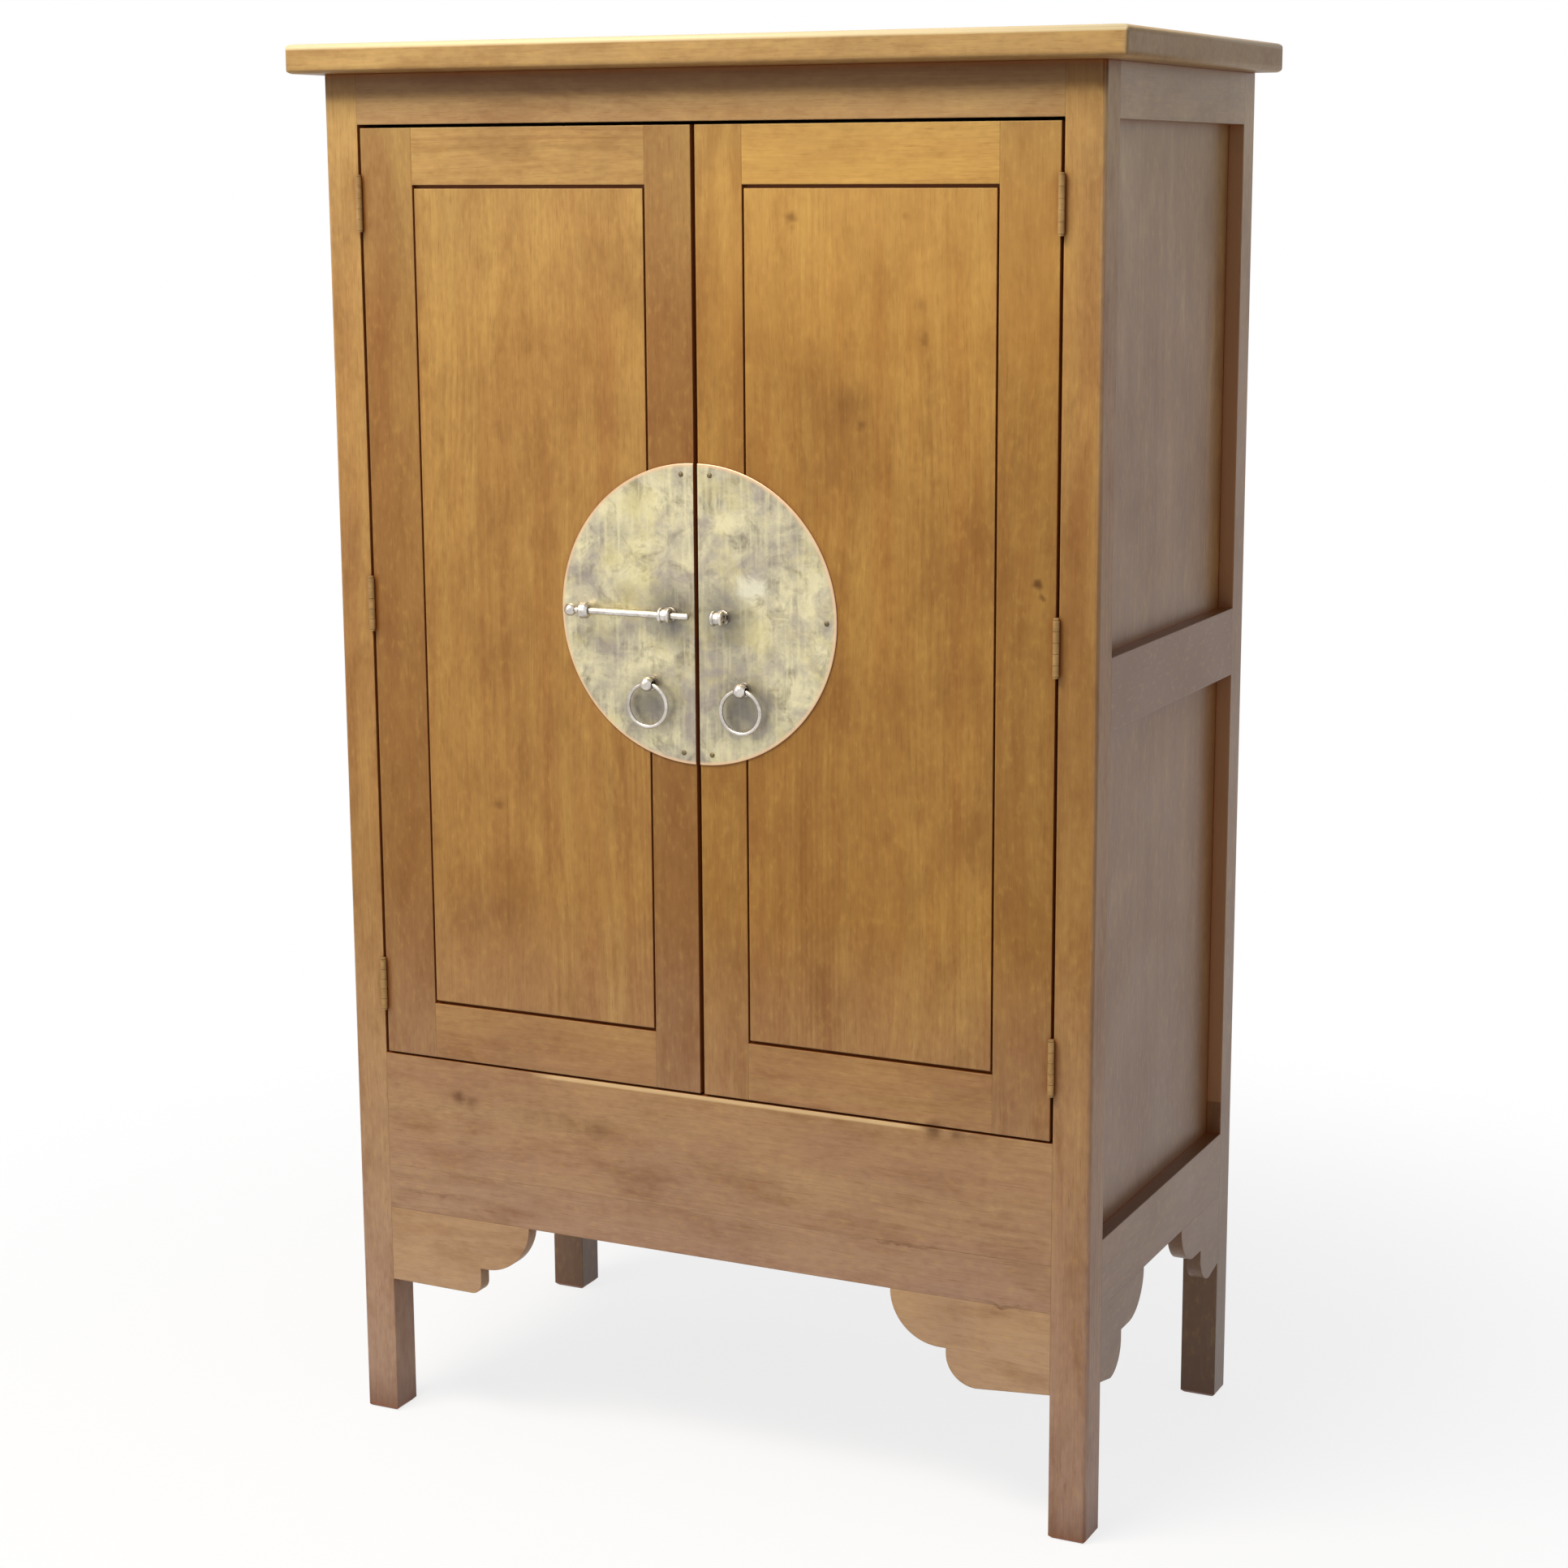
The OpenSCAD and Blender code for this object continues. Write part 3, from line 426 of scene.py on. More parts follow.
def stain_coats(tree, figure, clouds, height, middle, dark, grey):
    """The coats of one board, from the stain's clouds up to the pores."""
    took = add(tree, "ShaderNodeAttribute", attribute_name="stain").outputs["Vector"]
    dark_share, grey_and_side_shade, pale_share = add(tree, "ShaderNodeSeparateXYZ", {"Vector": took}).outputs
    end_grain = add(tree, "ShaderNodeAttribute", attribute_name="end_grain").outputs["Fac"]
    return [
        (figure["bands"], 0.32, 0.68, 0.90, middle),
        (figure["blotches"], 0.44, 0.26, 0.30, PALE_GOLD),
        (clouds, 0.44, 0.70, 0.42, UMBER),
        (dark_share, 0.0, 1.0, 1.0, UMBER),
        # The board's own grey, with painted shade on faces that look to the left or right
        (grey_and_side_shade, 0.0, 1.0, 1.0, grey),
        (pale_share, 0.0, 1.0, 1.0, PALE_GOLD),
        # End grain takes the stain darker; on the top board's ends, which face the shaded side, it is also
        # painted shade
        (end_grain, 0.0, 1.0, 0.55, dark),
        # Painted light and shade by height: darker lower down, paler and more golden near the top, greyer
        # near the floor
        *[(height, *tone) for tone in HEIGHT_LIGHT_AND_SHADE],
        (height, FLOOR_SHADE_FROM, 0.0, FLOOR_SHADE_SHARE, grey),
        (figure["blotches"], 0.50, 0.74, 0.40, UMBER),
        (figure["fibres"], 0.35, 0.75, 0.18, dark),
        (figure["rings"], 0.20, 1.00, 0.18, dark),
        (figure["figure"], 0.50, 0.72, 0.15, dark),
        (figure["figure"], 0.44, 0.28, 0.11, PALE_GOLD),
        (figure["pores"], 0.60, 0.74, 0.30, dark),
    ]


print("tones that change with height:", len(HEIGHT_LIGHT_AND_SHADE) + 1)

# %% [markdown]
# ## Ledges, the top, and painted light and shade
# Which way a face looks changes its colour. Upward faces below the top are darkened; the top board has faded
# in the sun, and its rounded front edge carries a painted highlight. The sides' faces that look to the front
# get a warm colour as painted light. Corners and crevices get painted shade. Painting those places would take
# a mask for every board, and Ambient Occlusion finds them all: little open sky means a crevice, and a little
# less than all of it means a corner.

# %% Coats of wear
# Colours of the painted shade: brown in corners, redder in crevices
CORNER_SHADE_BROWN = "#5C2C0C"
CREVICE_SHADE_RED = "#94501A"
FADED_TOP_AND_HIGHLIGHT = "#C6AE86"
# The heights in metres over which there is only the top board, and no longer any leg
TOP_FROM = 1.70
LEG_TOP = 0.42
# How far from the middle the sides' outer faces begin
OUTSIDE_FROM = 0.485
# What becomes of upward faces, darker below the top and paler on it, where the sun faded it and its rounded
# front edge gets a painted highlight: which heights beside TOP_FROM, the cover and the colour
LEDGES = (("LESS_THAN", 0.60, DARK_HEART), ("GREATER_THAN", 0.52, FADED_TOP_AND_HIGHLIGHT))
LEDGE_FROM = 0.10
LEDGE_FULL = 0.60
# How far a face looks to the front, and how much of the warm colour of painted light it then has
RECESS_FROM = -0.70
RECESS_FULL = -0.95
RECESS_COVER = 0.80
# How far the sky is looked for, the share of it below which painted shade lies, and the share where it is
# full
CORNER_MM = 80
CORNER_FROM = 0.92
CREVICE_MM = 12
CREVICE_FROM = 0.85
SHUT_IN_FULL = 0.45


def facing_coats(tree, facing, across_room, height, aged, front_lit_tone):
    """Darkened ledges, the sun-faded top with a painted highlight on its round, and the recessed edges'
    painted light.
    """
    coats = []
    if aged:
        for test, cover, tone in LEDGES:
            level = add(tree, "ShaderNodeMath", {0: height, 1: TOP_FROM}, operation=test)
            upward = add(tree, "ShaderNodeMath", {0: facing["Z"], 1: level.outputs[0]}, operation="MULTIPLY")
            coats.append((upward.outputs[0], LEDGE_FROM, LEDGE_FULL, cover, tone))
    if front_lit_tone:
        over_legs = add(tree, "ShaderNodeMath", {0: height, 1: LEG_TOP}, operation="GREATER_THAN")
        sideways = add(tree, "ShaderNodeMath", {0: across_room}, operation="ABSOLUTE")
        outer = add(tree, "ShaderNodeMath", {0: sideways.outputs[0], 1: OUTSIDE_FROM},
                    operation="GREATER_THAN")
        there = add(tree, "ShaderNodeMath", {0: over_legs.outputs[0], 1: outer.outputs[0]},
                    operation="MULTIPLY")
        edges = add(tree, "ShaderNodeMath", {0: facing["Y"], 1: there.outputs[0]}, operation="MULTIPLY")
        coats.append((edges.outputs[0], RECESS_FROM, RECESS_FULL, RECESS_COVER, front_lit_tone))
    return coats


def sky_coats(tree, crevice_shade_cover, shade):
    """Painted shade in the corners and a redder painted shade in the crevices, where Ambient Occlusion finds
    less sky.
    """
    coats = []
    for reach, begins, cover, tone in (
        (CORNER_MM, CORNER_FROM, shade, CORNER_SHADE_BROWN), (CREVICE_MM, CREVICE_FROM, crevice_shade_cover, CREVICE_SHADE_RED),
    ):
        sky = add(tree, "ShaderNodeAmbientOcclusion", {"Distance": reach * MM}, samples=6).outputs["AO"]
        coats.append((sky, begins, SHUT_IN_FULL, cover, tone))
    return coats


print("crevices reach", CREVICE_MM, "mm and corners", CORNER_MM, "mm")

# %% [markdown]
# ## From coats to a finish
# A sharp edge never catches the light as worn wood does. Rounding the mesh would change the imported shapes,
# so a Bevel node rounds the arrises for the light alone, and comparing its normal with the plain one finds
# the edges to wear. Fibres stand up and pores lie deep, so their difference is the relief.

# %% An elm finish
ARRIS_MM = 2.2
# How far the two normals agree where the wear begins and where it is full, and its cover
ARRIS_WEAR = (0.995, 0.88, 0.16)
RELIEF_STRENGTH = 0.20
RELIEF_DEPTH = 0.2 * MM
SMOOTHER_BY = 0.06
ROUGHER_BY = 0.10
VARNISH_IOR = 1.45


def elm(name, light, middle, dark, worn, grey, crevice_shade_cover=0.70, shade=0.75, roughness=0.42, gloss=0.22,
        aged=True, front_lit_tone=None):
    """A varnished elm; its colours run from light early wood to dark pores, with painted shade that greys it
    near the floor.
    """
    material = bare_material(name)
    tree = material.node_tree
    log = add(tree, "ShaderNodeAttribute", attribute_name="log").outputs["Vector"]
    room = add(tree, "ShaderNodeTexCoord").outputs["Object"]
    across_room, _, height = add(tree, "ShaderNodeSeparateXYZ", {"Vector": room}).outputs
    surface_way = add(tree, "ShaderNodeNewGeometry").outputs
    facing = add(tree, "ShaderNodeSeparateXYZ", {"Vector": surface_way["True Normal"]}).outputs
    figure = grain(tree, log)
    clouds = add(tree, "ShaderNodeTexNoise", {
        "Vector": room, "Scale": 1000 / CLOUD_MM, "Detail": 4.0, "Roughness": 0.6,
    }).outputs["Fac"]

    coats = stain_coats(tree, figure, clouds, height, middle, dark, grey)
    if aged:
        bent_room = bend(tree, room)
        coats += [knot_coat(tree, bent_room), edge_highlight_coat(tree, room)]
        coats += line_coats(tree, room, bent_room)
    coats += facing_coats(tree, facing, across_room, height, aged, front_lit_tone)
    soft_edge = add(tree, "ShaderNodeBevel", {"Radius": ARRIS_MM * MM}, samples=4).outputs["Normal"]
    match = add(tree, "ShaderNodeVectorMath", {0: soft_edge, 1: surface_way["Normal"]},
                operation="DOT_PRODUCT")
    coats.append((match.outputs["Value"], *ARRIS_WEAR, worn))
    coats += sky_coats(tree, crevice_shade_cover, shade)

    relief = add(tree, "ShaderNodeMath", {0: figure["fibres"], 1: figure["pores"]}, operation="SUBTRACT")
    bump = add(tree, "ShaderNodeBump", {
        "Height": relief.outputs[0], "Strength": RELIEF_STRENGTH, "Distance": RELIEF_DEPTH,
        "Normal": soft_edge,
    })
    sheen = add(tree, "ShaderNodeMapRange", {
        "Value": clouds, "To Min": roughness - SMOOTHER_BY, "To Max": roughness + ROUGHER_BY,
    })
    surface = add(tree, "ShaderNodeBsdfPrincipled", {
        "Base Color": lay_coats(tree, light, coats), "Roughness": sheen.outputs[0],
        "Normal": bump.outputs["Normal"], "IOR": VARNISH_IOR, "Specular IOR Level": gloss,
    })
    add(tree, "ShaderNodeOutputMaterial", {"Surface": surface.outputs[0]})
    return material


print("arrises are rounded by", ARRIS_MM, "mm")

# %% [markdown]
# ## Four kinds of elm
# The cabinet needs four finishes of one wood. Four separate node trees would drift apart, so one recipe gets
# other colours each time: light early wood, the wood between, dark pores, worn arris, and a grey for greyer
# boards and for the painted shade near the floor and on the sides.

# %% The elm finishes
# Honey stain under waxed varnish: warm, cloudy and a little glossy
honey_elm = elm("elm, honey stain and waxed varnish", "#B88F48", "#A27034", "#6C3E18", "#CBA160", "#A68A7A")
# The brackets took less stain, so they are paler
bracket_elm = elm("elm, pale honey stain", "#C89C5C", "#B4884E", "#84582E", "#D0A868", "#B0947C")
# Brown varnish on the sides: darker and cooler, partly as painted shade, and glossier; faces that look to the
# front get a warm colour as painted light
side_elm = elm("elm, darker varnish and painted shade on the sides", "#A07648", "#8A6038", "#5A3A1C", "#A8804C", "#705642",
               crevice_shade_cover=0.55, shade=0.35, roughness=0.36, gloss=0.5, front_lit_tone="#B4845C")
# Sawn boards that never had a finish: dusty and matt
bare_elm = elm("elm, bare and dusty", "#B08D62", "#9A7850", "#6E5236", "#B89A70", "#9A7850",
               roughness=0.6, gloss=0.2, aged=False)
print("elm finishes:", [m.name for m in (honey_elm, bracket_elm, side_elm, bare_elm)])

# %% [markdown]
# ## Dressing the boards
# A joiner lays the grain along each part's length: posts, stiles and panels upright, the rails level, the
# side rails from front to back. The first list says that once for every wooden node. The second says which
# boards took the stain darker, went greyer or stayed paler than their neighbours.

# %% The boards and their grain
SIDES = ("left", "right")
WOOD = {
    ("honey_elm", "upright"): ["front_left_post", "front_right_post"],
    ("honey_elm", "level"): ["top_board", "front_top_rail", "front_bottom_rail", "front_apron"],
    ("bracket_elm", "level"): ["front_left_bracket", "front_right_bracket"],
    ("grey_elm", "upright"): ["rear_left_post", "rear_right_post", "back_upper_panel", "back_lower_panel"],
    ("grey_elm", "level"): ["back_top_rail", "back_middle_rail", "back_bottom_rail"],
    ("grey_elm", "deep"): [],
    ("bare_elm", "level"): ["floor_board", "lower_shelf", "upper_shelf"],
    ("bare_elm", "deep"): ["shelf_cleats"],
}
for side in SIDES:
    door = side + "_door_"
    WOOD["honey_elm", "upright"] += [door + part for part in ("outer_stile", "inner_stile", "panel")]
    WOOD["honey_elm", "level"] += [door + part for part in ("top_rail", "bottom_rail")]
    WOOD["grey_elm", "upright"] += [side + "_upper_panel", side + "_lower_panel"]
    WOOD["grey_elm", "deep"] += [side + part for part in ("_top_rail", "_middle_rail", "_bottom_rail")]
    WOOD["grey_elm", "deep"] += [side + "_side_front_bracket", side + "_side_rear_bracket"]

# How dark, how grey and how pale a board is
STAIN = {
    "left_door_outer_stile": (0.46, 0.06, 0.0), "right_door_outer_stile": (0.36, 0.0, 0.0),
    "left_door_inner_stile": (0.52, 0.06, 0.0), "right_door_inner_stile": (0.18, 0.0, 0.0),
    "left_door_top_rail": (0.04, 0.14, 0.05), "right_door_top_rail": (0.0, 0.0, 0.20),
    "left_door_bottom_rail": (0.05, 0.05, 0.0), "right_door_bottom_rail": (0.0, 0.03, 0.0),
    # The front top rail is darker and greyer as painted shade under the top board's overhang
    "front_top_rail": (0.12, 0.30, 0.0), "top_board": (0.10, 0.20, 0.05),
    "front_left_post": (0.0, 0.15, 0.05), "front_right_post": (0.08, 0.10, 0.0),
    "front_bottom_rail": (0.0, 0.15, 0.0), "front_apron": (0.05, 0.20, 0.0),
    "right_door_panel": (0.07, 0.0, 0.0), "left_door_panel": (0.03, 0.06, 0.0),
    "right_middle_rail": (0.80, 0.0, 0.0), "left_middle_rail": (0.80, 0.0, 0.0),
    "right_lower_panel": (0.24, 0.0, 0.0), "left_lower_panel": (0.24, 0.0, 0.0),
    "right_top_rail": (0.30, 0.0, 0.0), "left_top_rail": (0.30, 0.0, 0.0),
}
PLAIN = (0.0, 0.0, 0.0)
# The material, its slot, and how much greyer the faces to the left and right are painted, as painted shade
FINISHES = {
    "honey_elm": (honey_elm, "honey_elm", 0.42),
    "bracket_elm": (bracket_elm, "honey_elm", 0.3),
    "grey_elm": (side_elm, "grey_elm", 0.0),
    "bare_elm": (bare_elm, "inner_elm", 0.0),
}
body_of_node = {n: b for b, nodes in frame["record"]["behaviour"]["bodies"].items() for n in nodes}
number = 0
for (finish, direction), nodes in WOOD.items():
    material, slot, side_shade_grey = FINISHES[finish]
    for node in nodes:
        piece = board(node, direction, number, STAIN.get(node, PLAIN), side_shade_grey)
        number += 1
        piece.data.materials.clear()
        piece.data.materials.append(material)
        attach(piece, body_of_node[node])
        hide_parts(node)
print("boards dressed:", number)

# %% [markdown]
# ## Old brass
# The plate is sheet brass that has browned and been rubbed back for years, so its colour drifts from pale
# straw through olive to a mauve grey, in clouds and in upright streaks where it was wiped. It is still
# metal, but a dull one: the patina scatters what the bare brass would mirror. Round the fittings it is
# darker, with tarnish where no cloth goes and painted shade; a bright spot beside the right lug is a painted
# reflection, and the rim is rubbed to a coppery line.

# %% Marks on the plate
plate_low, plate_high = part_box("right_lock_plate")
plate_radius = (plate_high.z - plate_low.z) / 2
plate_centre = Vector((plate_low.x, plate_low.y, (plate_high.z + plate_low.z) / 2))
FITTINGS = ("left_bolt_lug", "right_bolt_lug", "left_ring", "right_ring")
# Where a smudge is full, where it ends and how far noise blurs it
TARNISH_AND_SHADE_REACH = (30 * MM, 72 * MM, 45 * MM)
# The painted reflection beside the right lug: its reach, and its place beside the lug
REFLECTION_SPOT_REACH = (37 * MM, 52 * MM, 60 * MM)
REFLECTION_SPOT_FROM_LUG = Vector((41, 0, 38)) * MM
# How far inside the rim its copper begins and is full
RIM_FROM = 5 * MM
RIM_FULL = 2 * MM


def spot_share(tree, room, ragged, node, shift, full, ends, blur):
    """1 near the middle of a fitting, or beside it by a shift, and 0 away from it, with a ragged edge."""
    low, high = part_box(node)
    spot = (low + high) / 2 + shift
    spot.y = plate_centre.y
    off = add(tree, "ShaderNodeVectorMath", {0: room, 1: spot}, operation="DISTANCE")
    blurred = add(tree, "ShaderNodeMath", {0: ragged, 1: blur, 2: off.outputs["Value"]},
                  operation="MULTIPLY_ADD")
    return add(tree, "ShaderNodeMapRange", {
        "Value": blurred.outputs[0], "From Min": full, "From Max": ends, "To Min": 1.0, "To Max": 0.0,
    }).outputs[0]


def plate_marks(tree, room, ragged):
    """How much rim, fitting-side tarnish with painted shade, and painted reflection lies here on the plate.
    """
    # Each half is centred on its own straight edge, so the left half is folded over onto the right one
    split = add(tree, "ShaderNodeSeparateXYZ", {"Vector": room}).outputs
    folded = add(tree, "ShaderNodeMath", {0: split["X"]}, operation="ABSOLUTE")
    place = add(tree, "ShaderNodeCombineXYZ", {"X": folded.outputs[0], "Y": plate_centre.y, "Z": split["Z"]})
    away = add(tree, "ShaderNodeVectorMath", {0: place.outputs[0], 1: plate_centre}, operation="DISTANCE")
    rim = add(tree, "ShaderNodeMapRange", {
        "Value": away.outputs["Value"],
        "From Min": plate_radius - RIM_FROM, "From Max": plate_radius - RIM_FULL,
    })
    near = 0.0
    for fitting in FITTINGS:
        share = spot_share(tree, room, ragged, fitting, Vector(), *TARNISH_AND_SHADE_REACH)
        near = add(tree, "ShaderNodeMath", {0: share, 1: near}, operation="MAXIMUM").outputs[0]
    reflection_spot = spot_share(tree, room, ragged, "right_bolt_lug", REFLECTION_SPOT_FROM_LUG, *REFLECTION_SPOT_REACH)
    return rim.outputs[0], near, reflection_spot


print("plate radius:", round(plate_radius / MM, 1), "mm")

# %% [markdown]
# ## Patina
# One noise on brass looks like marble. Three of falling size lay clouds, patches and specks over the light
# metal, and a fourth, drawn out upwards, wipes streaks of it clean. The clouds are rougher than the bright
# metal between them, and the patches are dented a little.

# %% A brass finish
# The scale beside the patches', the detail, roughness and twist of the noises, from clouds to specks
BRASS_NOISES = ((1.0, 7.0, 0.68, 0.3), (2.3, 6.0, 0.66, 0.8), (6.5, 4.0, 0.6, 0.0))
# The same four for the plate's two tones, then the noise's own place, the range, the cover and the colour
PLATE_TONES = (
    (1.6, 5.0, 0.62, 0.6, 3.0, 0.48, 0.66, 0.75, "#968B86"),
    (1.2, 6.0, 0.66, 0.4, 8.0, 0.50, 0.66, 0.45, "#CBBD7C"),
)
# Streaks are close across the plate and long in the way it was wiped
WIPED = (260, 260, 18)
STREAK_SCALE = 0.6
# Tarnish with painted shade round the fittings, and the colour of the painted reflection
FITTING_TARNISH_AND_SHADE = "#5E5A5C"
REFLECTION_SPOT_BRIGHT = "#EEE9CF"
RIM_COPPER = "#E2BE98"
CREVICE_DARKENING = "#3C2F20"
CREVICE_REACH = 5 * MM
# The share of the noise's range that is met, and how much smoother and rougher the metal is at its ends
NOISE_MET = (0.3, 0.7)
BRIGHTER_BY = 0.08
DULLER_BY = 0.12
DENT_STRENGTH = 0.25
DENT_DEPTH = 0.4 * MM


def brass(name, light, middle, dark, patch_mm, roughness, metallic=1.0, tarnish=0.6, plate=False):
    """Brass with patches of tarnish; only the plate has two tones more, the rim, tarnish with painted shade
    round the fittings and a painted reflection.
    """
    material = bare_material(name)
    tree = material.node_tree
    room = add(tree, "ShaderNodeTexCoord").outputs["Object"]
    noises = []
    for scale, detail, rough, twist in BRASS_NOISES:
        noises.append(add(tree, "ShaderNodeTexNoise", {
            "Vector": room, "Scale": scale * 1000 / patch_mm, "Detail": detail, "Roughness": rough,
            "Distortion": twist,
        }).outputs["Fac"])
    wiped = add(tree, "ShaderNodeVectorMath", {0: room, 1: WIPED}, operation="MULTIPLY")
    streaks = add(tree, "ShaderNodeTexNoise", {
        "Vector": wiped.outputs[0], "Scale": STREAK_SCALE, "Detail": 3.0,
    })
    coats = [
        (noises[0], 0.38, 0.62, 1.0, middle),
        (noises[1], 0.50, 0.70, tarnish, dark),
        (noises[2], 0.58, 0.76, 0.5 * tarnish, dark),
        (streaks.outputs["Fac"], 0.48, 0.70, 0.8 * tarnish, light),
    ]
    if plate:
        for scale, detail, rough, twist, place, begins, full, cover, tone in PLATE_TONES:
            noise = add(tree, "ShaderNodeTexNoise", {
                "Vector": room, "W": place, "Scale": scale * 1000 / patch_mm, "Detail": detail,
                "Roughness": rough, "Distortion": twist,
            }, noise_dimensions="4D")
            coats.append((noise.outputs["Fac"], begins, full, cover, tone))
        rim, near, reflection_spot = plate_marks(tree, room, noises[1])
        coats += [
            # Round the fittings, tarnish and painted shade; beside the right lug, a painted reflection
            (near, 0.0, 1.0, 0.72, FITTING_TARNISH_AND_SHADE), (reflection_spot, 0.0, 1.0, 0.55, REFLECTION_SPOT_BRIGHT),
            (rim, 0.0, 1.0, 0.80, RIM_COPPER),
        ]
    # Darker in crevices, where Ambient Occlusion finds little open sky
    sky = add(tree, "ShaderNodeAmbientOcclusion", {"Distance": CREVICE_REACH}, samples=6).outputs["AO"]
    coats.append((sky, 0.80, 0.35, 0.75, CREVICE_DARKENING))
    dull = add(tree, "ShaderNodeMapRange", {
        "Value": noises[0], "From Min": NOISE_MET[0], "From Max": NOISE_MET[1],
        "To Min": roughness - BRIGHTER_BY, "To Max": roughness + DULLER_BY,
    })
    dents = add(tree, "ShaderNodeBump", {
        "Height": noises[1], "Strength": DENT_STRENGTH, "Distance": DENT_DEPTH,
    })
    surface = add(tree, "ShaderNodeBsdfPrincipled", {
        "Base Color": lay_coats(tree, light, coats), "Metallic": metallic, "Roughness": dull.outputs[0],
        "Normal": dents.outputs["Normal"],
    })
    add(tree, "ShaderNodeOutputMaterial", {"Surface": surface.outputs[0]})
    return material


print("noises on brass:", len(BRASS_NOISES), "and on the plate", len(PLATE_TONES), "more")

# %% [markdown]
# ## Four kinds of brass
# Plate, fittings, hinges and nails were made in different ways and see different hands, so each is its own
# brass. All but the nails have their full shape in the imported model, and only their material changes.

# %% The brass finishes
# Rolled sheet that browned and was rubbed back: dull, cloudy straw with bruises of grey
plate_brass = brass("sheet brass, mottled patina", "#DED4AC", "#A8A08C", "#665C4C", 75, 0.42, 0.85, 0.75,
                    plate=True)
# Turned white brass that hands keep bright: almost silver
bright_brass = brass("white brass, rubbed bright", "#DAD4CC", "#BEB6AC", "#86807A", 20, 0.26, 1.0, 0.5)
# Rolled strip under old wax: brown, with hardly a shine
hinge_brass = brass("rolled brass, waxed over", "#A9844F", "#92703F", "#6C502A", 15, 0.5, 0.35, 0.4)
# Struck nail heads, blackened: small dark dots
nail_brass = brass("nail heads, blackened", "#7C6C4C", "#62543A", "#3E3424", 6, 0.5, 0.7, 0.6)

METAL = {
    plate_brass: ["left_lock_plate", "right_lock_plate"],
    bright_brass: ["bolt"] + [side + part for side in SIDES for part in ("_bolt_lug", "_ring_eye", "_ring")],
    hinge_brass: [n for n in frame["nodes"] if "hinge_" in n],
}
for material, nodes in METAL.items():
    for node in nodes:
        frame["nodes"][node].data.materials.clear()
        frame["nodes"][node].data.materials.append(material)
print("brass nodes:", sum(len(nodes) for nodes in METAL.values()))

# %% [markdown]
# ## The plate's nails
# Each half of the plate is held by three round-headed nails near its rim: one in the middle of the curve
# and one by each end of the straight edge. Six domes could be set by hand, but points spread along an arc
# are a rule, so Geometry Nodes place them, and the same tree serves both halves.

# %% A tree for half a plate's nails
NAILS_IN_HALF = 3
# How far round the rim the outer two stand from each other, and how high a head is beside its radius
NAIL_SWEEP = math.radians(169)
NAIL_RISE = 0.55

nails = bpy.data.node_groups.new("nails round half a plate", "GeometryNodeTree")
nails.is_modifier = True
for title, socket_type in (
    ("Middle", "NodeSocketVector"), ("Ring radius", "NodeSocketFloat"), ("Start angle", "NodeSocketFloat"),
    ("Head radius", "NodeSocketFloat"), ("Material", "NodeSocketMaterial"),
):
    nails.interface.new_socket(title, in_out="INPUT", socket_type=socket_type)
nails.interface.new_socket("Geometry", in_out="OUTPUT", socket_type="NodeSocketGeometry")
given = add(nails, "NodeGroupInput").outputs
arc = add(nails, "GeometryNodeCurveArc", {
    "Resolution": 64, "Radius": given["Ring radius"], "Start Angle": given["Start angle"],
    "Sweep Angle": NAIL_SWEEP,
})
spots = add(nails, "GeometryNodeCurveToPoints", {"Curve": arc.outputs[0], "Count": NAILS_IN_HALF})
ball = add(nails, "GeometryNodeMeshUVSphere", {
    "Segments": 24, "Rings": 12, "Radius": given["Head radius"],
})
domes = add(nails, "GeometryNodeTransform", {"Geometry": ball.outputs[0], "Scale": (1, 1, NAIL_RISE)})
placed = add(nails, "GeometryNodeInstanceOnPoints", {
    "Points": spots.outputs["Points"], "Instance": domes.outputs[0],
})
stood = add(nails, "GeometryNodeTransform", {
    "Geometry": placed.outputs[0], "Rotation": (math.pi / 2, 0, 0), "Translation": given["Middle"],
})
solid = add(nails, "GeometryNodeRealizeInstances", {"Geometry": stood.outputs[0]})
finished = add(nails, "GeometryNodeSetMaterial", {
    "Geometry": solid.outputs[0], "Material": given["Material"],
})
smooth = add(nails, "GeometryNodeSetShadeSmooth", {"Geometry": finished.outputs[0]})
add(nails, "NodeGroupOutput", {"Geometry": smooth.outputs[0]})
print("nodes in the nails' tree:", len(nails.nodes))

# %% [markdown]
# ## From tree to nails
# Each door carries its own nails, so each half becomes a piece of its own. A modifier runs the tree on an
# empty mesh, and what it makes is kept as a plain mesh, which rides on a door as any other piece does.

# %% The plate's nails
NAIL_INSET = 13 * MM
NAIL_HEAD = 3.2 * MM


def run_tree(tree, title, **values):
    """Runs a tree on an empty mesh and returns what it makes as a plain object."""
    host = bpy.data.objects.new(title + "_host", bpy.data.meshes.new(title + "_host"))
    bpy.context.collection.objects.link(host)
    modifier = host.modifiers.new("tree", "NODES")
    modifier.node_group = tree
    for item in tree.interface.items_tree:
        if item.in_out == "INPUT" and item.name in values:
            modifier[item.identifier] = values[item.name]
    made = bpy.data.meshes.new_from_object(host.evaluated_get(bpy.context.evaluated_depsgraph_get()))
    bpy.data.objects.remove(host)
    piece = bpy.data.objects.new(title, made)
    bpy.context.collection.objects.link(piece)
    return piece


for side, sign, start in (("right", 1, -NAIL_SWEEP / 2), ("left", -1, math.pi - NAIL_SWEEP / 2)):
    heads = run_tree(nails, side + "_plate_nails", **{
        "Middle": (sign * plate_centre.x, plate_centre.y, plate_centre.z),
        "Ring radius": plate_radius - NAIL_INSET, "Start angle": start, "Head radius": NAIL_HEAD,
        "Material": nail_brass,
    })
    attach(heads, side + "_door")
    print(heads.name, len(heads.data.polygons), "faces")

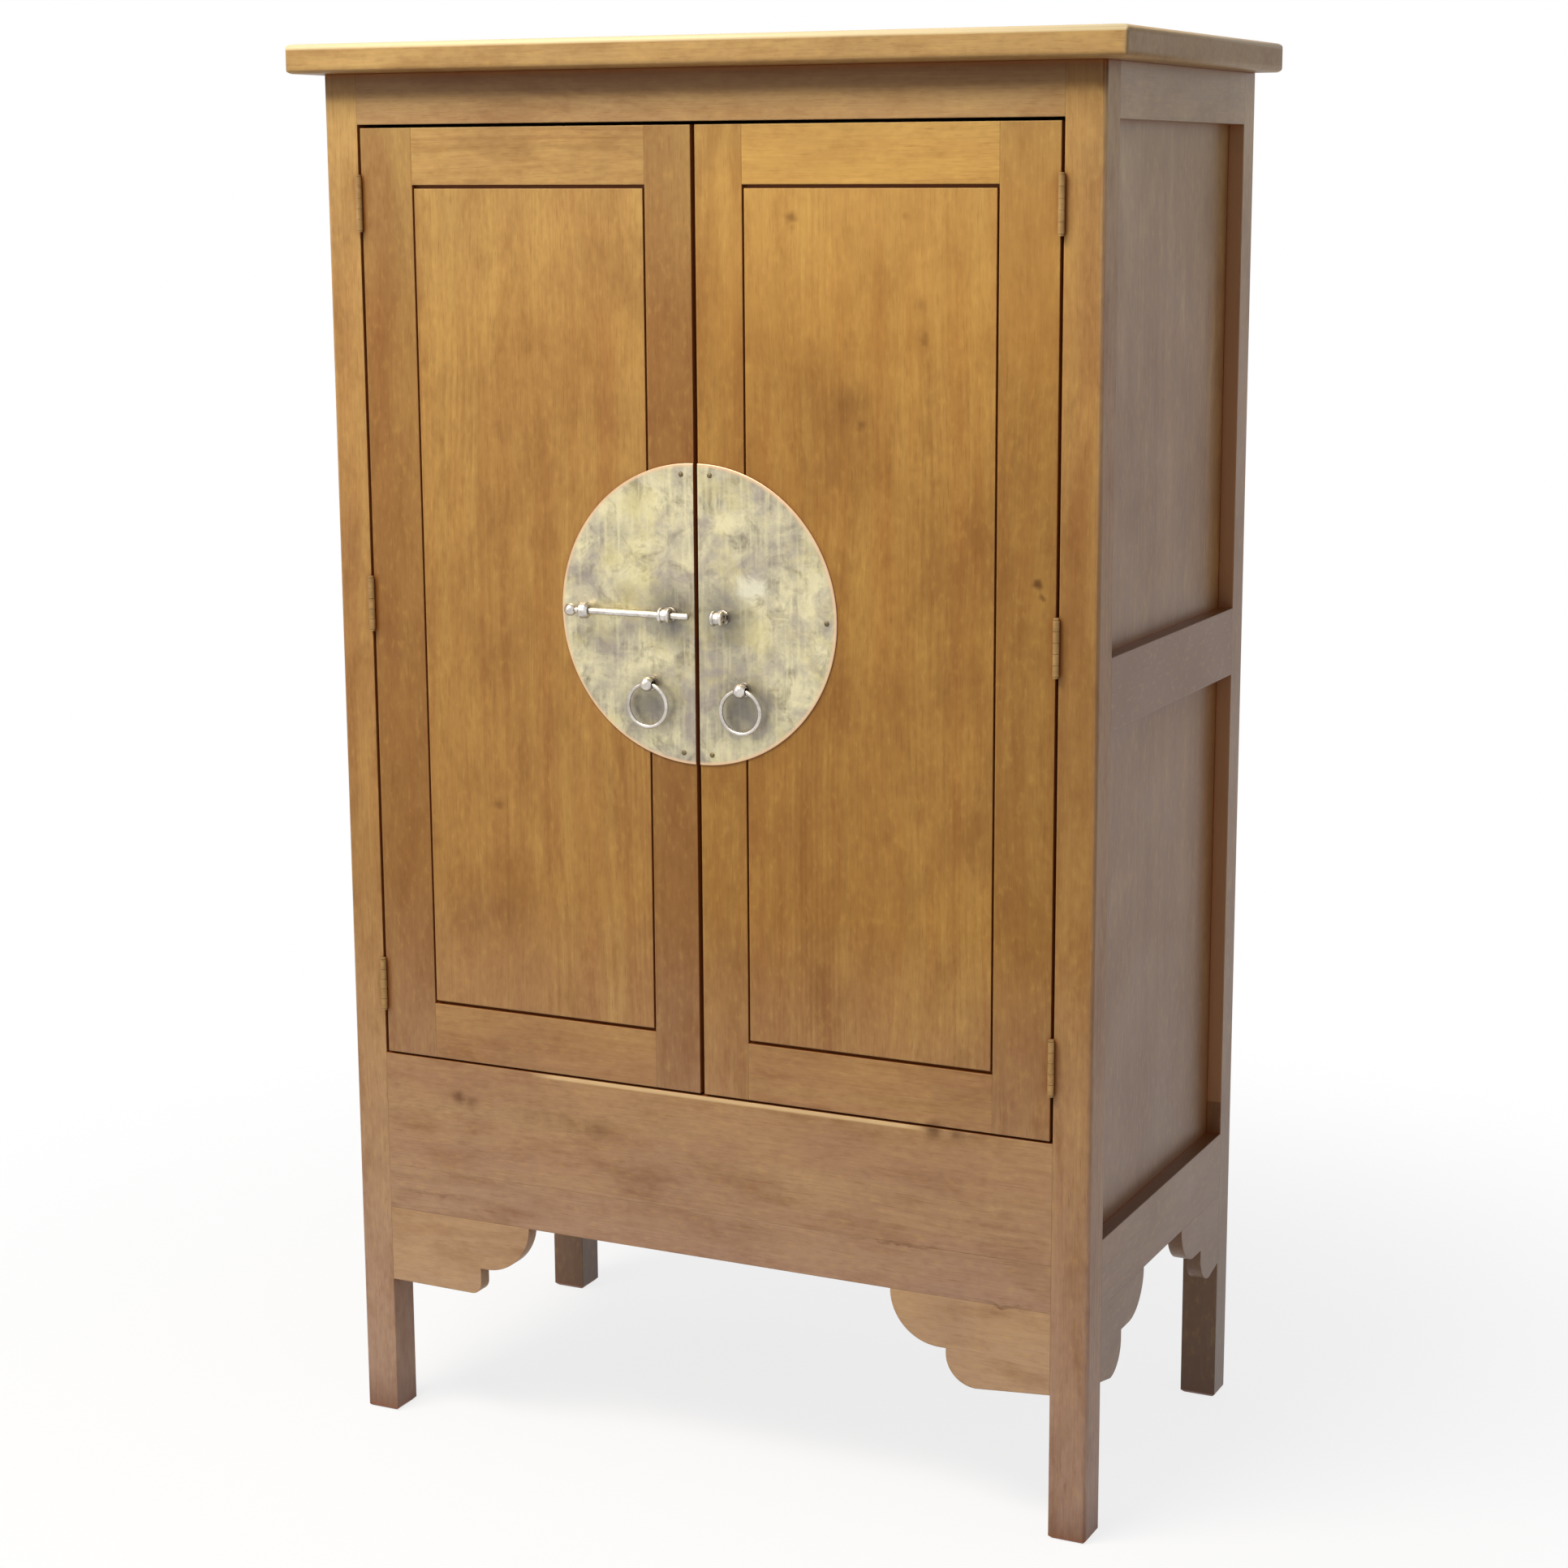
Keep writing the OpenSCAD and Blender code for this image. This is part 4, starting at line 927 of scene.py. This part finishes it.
# %% [markdown]
# ## Floor and background
# The background is white by its own colour. The floor fades into it a few steps away from the legs, and
# nearer it keeps the cabinet's soft shadow. Both are white only to rays that are seen: the light that they
# send on to the cabinet comes from dull paper and a faint, cool sky.

# %% Floor and background
FLOOR_RADIUS = 14.0
PAPER = "#F1EFEC"
PAPER_GLOW = 0.80
FADE_START = 0.6
FADE_END = 2.0
WHITE = "#FFFFFF"
SKY_BLUE = "#E4E8F2"
SKY_STRENGTH = 0.42

floor_mesh = bpy.data.meshes.new("floor")
floor_shape = bmesh.new()
bmesh.ops.create_circle(floor_shape, cap_ends=True, segments=96, radius=FLOOR_RADIUS)
floor_shape.to_mesh(floor_mesh)
floor_shape.free()
floor = bpy.data.objects.new("floor", floor_mesh)
bpy.context.collection.objects.link(floor)


def seen_share(tree):
    """1 for rays from the camera and for those that metal or glass sends on, and 0 for the light's own."""
    path = add(tree, "ShaderNodeLightPath").outputs
    seen = add(tree, "ShaderNodeMath", {0: path["Is Camera Ray"], 1: path["Is Glossy Ray"]},
               operation="MAXIMUM")
    return add(tree, "ShaderNodeMath", {0: seen.outputs[0], 1: path["Is Transmission Ray"]},
               operation="MAXIMUM").outputs[0]


paper = bare_material("matt white paper floor")
tree = paper.node_tree
spot = add(tree, "ShaderNodeTexCoord").outputs["Object"]
away = add(tree, "ShaderNodeVectorMath", {0: spot}, operation="LENGTH").outputs["Value"]
fade = add(tree, "ShaderNodeMapRange", {
    "Value": away, "From Min": FADE_START, "From Max": FADE_END, "To Min": PAPER_GLOW,
}, interpolation_type="SMOOTHSTEP")
white_share = add(tree, "ShaderNodeMath", {0: fade.outputs[0], 1: seen_share(tree)}, operation="MULTIPLY")
matt = add(tree, "ShaderNodeBsdfDiffuse", {"Color": srgb(PAPER)})
white = add(tree, "ShaderNodeEmission", {"Color": srgb(WHITE), "Strength": 1.0})
blend = add(tree, "ShaderNodeMixShader", {
    0: white_share.outputs[0], 1: matt.outputs[0], 2: white.outputs[0],
})
add(tree, "ShaderNodeOutputMaterial", {"Surface": blend.outputs[0]})
floor_mesh.materials.append(paper)

world = bpy.data.worlds.new("studio")
world.use_nodes = True
tree = world.node_tree
tree.nodes.clear()
ambient = add(tree, "ShaderNodeBackground", {"Color": srgb(SKY_BLUE), "Strength": SKY_STRENGTH})
backdrop = add(tree, "ShaderNodeBackground", {"Color": srgb(WHITE), "Strength": 1.0})
sky = add(tree, "ShaderNodeMixShader", {0: seen_share(tree), 1: ambient.outputs[0], 2: backdrop.outputs[0]})
add(tree, "ShaderNodeOutputWorld", {"Surface": sky.outputs[0]})
bpy.context.scene.world = world
print("paper floor", FLOOR_RADIUS, "m in radius")

# %% [markdown]
# ## Lamps
# A broad lamp overhead and one in front to the left light the doors as studio windows would, and a weaker,
# cooler one on the right keeps the shaded side readable.

# %% Lamps
# The place, the size, the watts and the colour of each
LAMPS = {
    "ceiling_panel": ((-0.9, -2.1, 4.3), (2.4, 1.2), 168.0, "#FFFAF2"),
    "window_key": ((-2.8, -3.6, 2.8), (2.4, 2.4), 37.0, "#FFF8EE"),
    "cool_fill": ((3.6, -0.6, 2.2), (3.4, 3.0), 10.0, "#C4D6FF"),
}
AIM = Vector((0, 0, 0.95))
for title, (spot, size, watts, colour) in LAMPS.items():
    lamp_data = bpy.data.lights.new(title, "AREA")
    lamp_data.shape = "RECTANGLE"
    lamp_data.size, lamp_data.size_y = size
    lamp_data.energy = watts
    lamp_data.color = srgb(colour)[:3]
    lamp = bpy.data.objects.new(title, lamp_data)
    lamp.location = spot
    lamp.rotation_euler = (AIM - Vector(spot)).to_track_quat("-Z", "Y").to_euler()
    bpy.context.collection.objects.link(lamp)
print("lamps:", sorted(LAMPS))

# %% [markdown]
# ## Finish
# The colours are meant as written, so the view transform is the plain one.

# %% Finish
bpy.context.scene.view_settings.view_transform = "Standard"
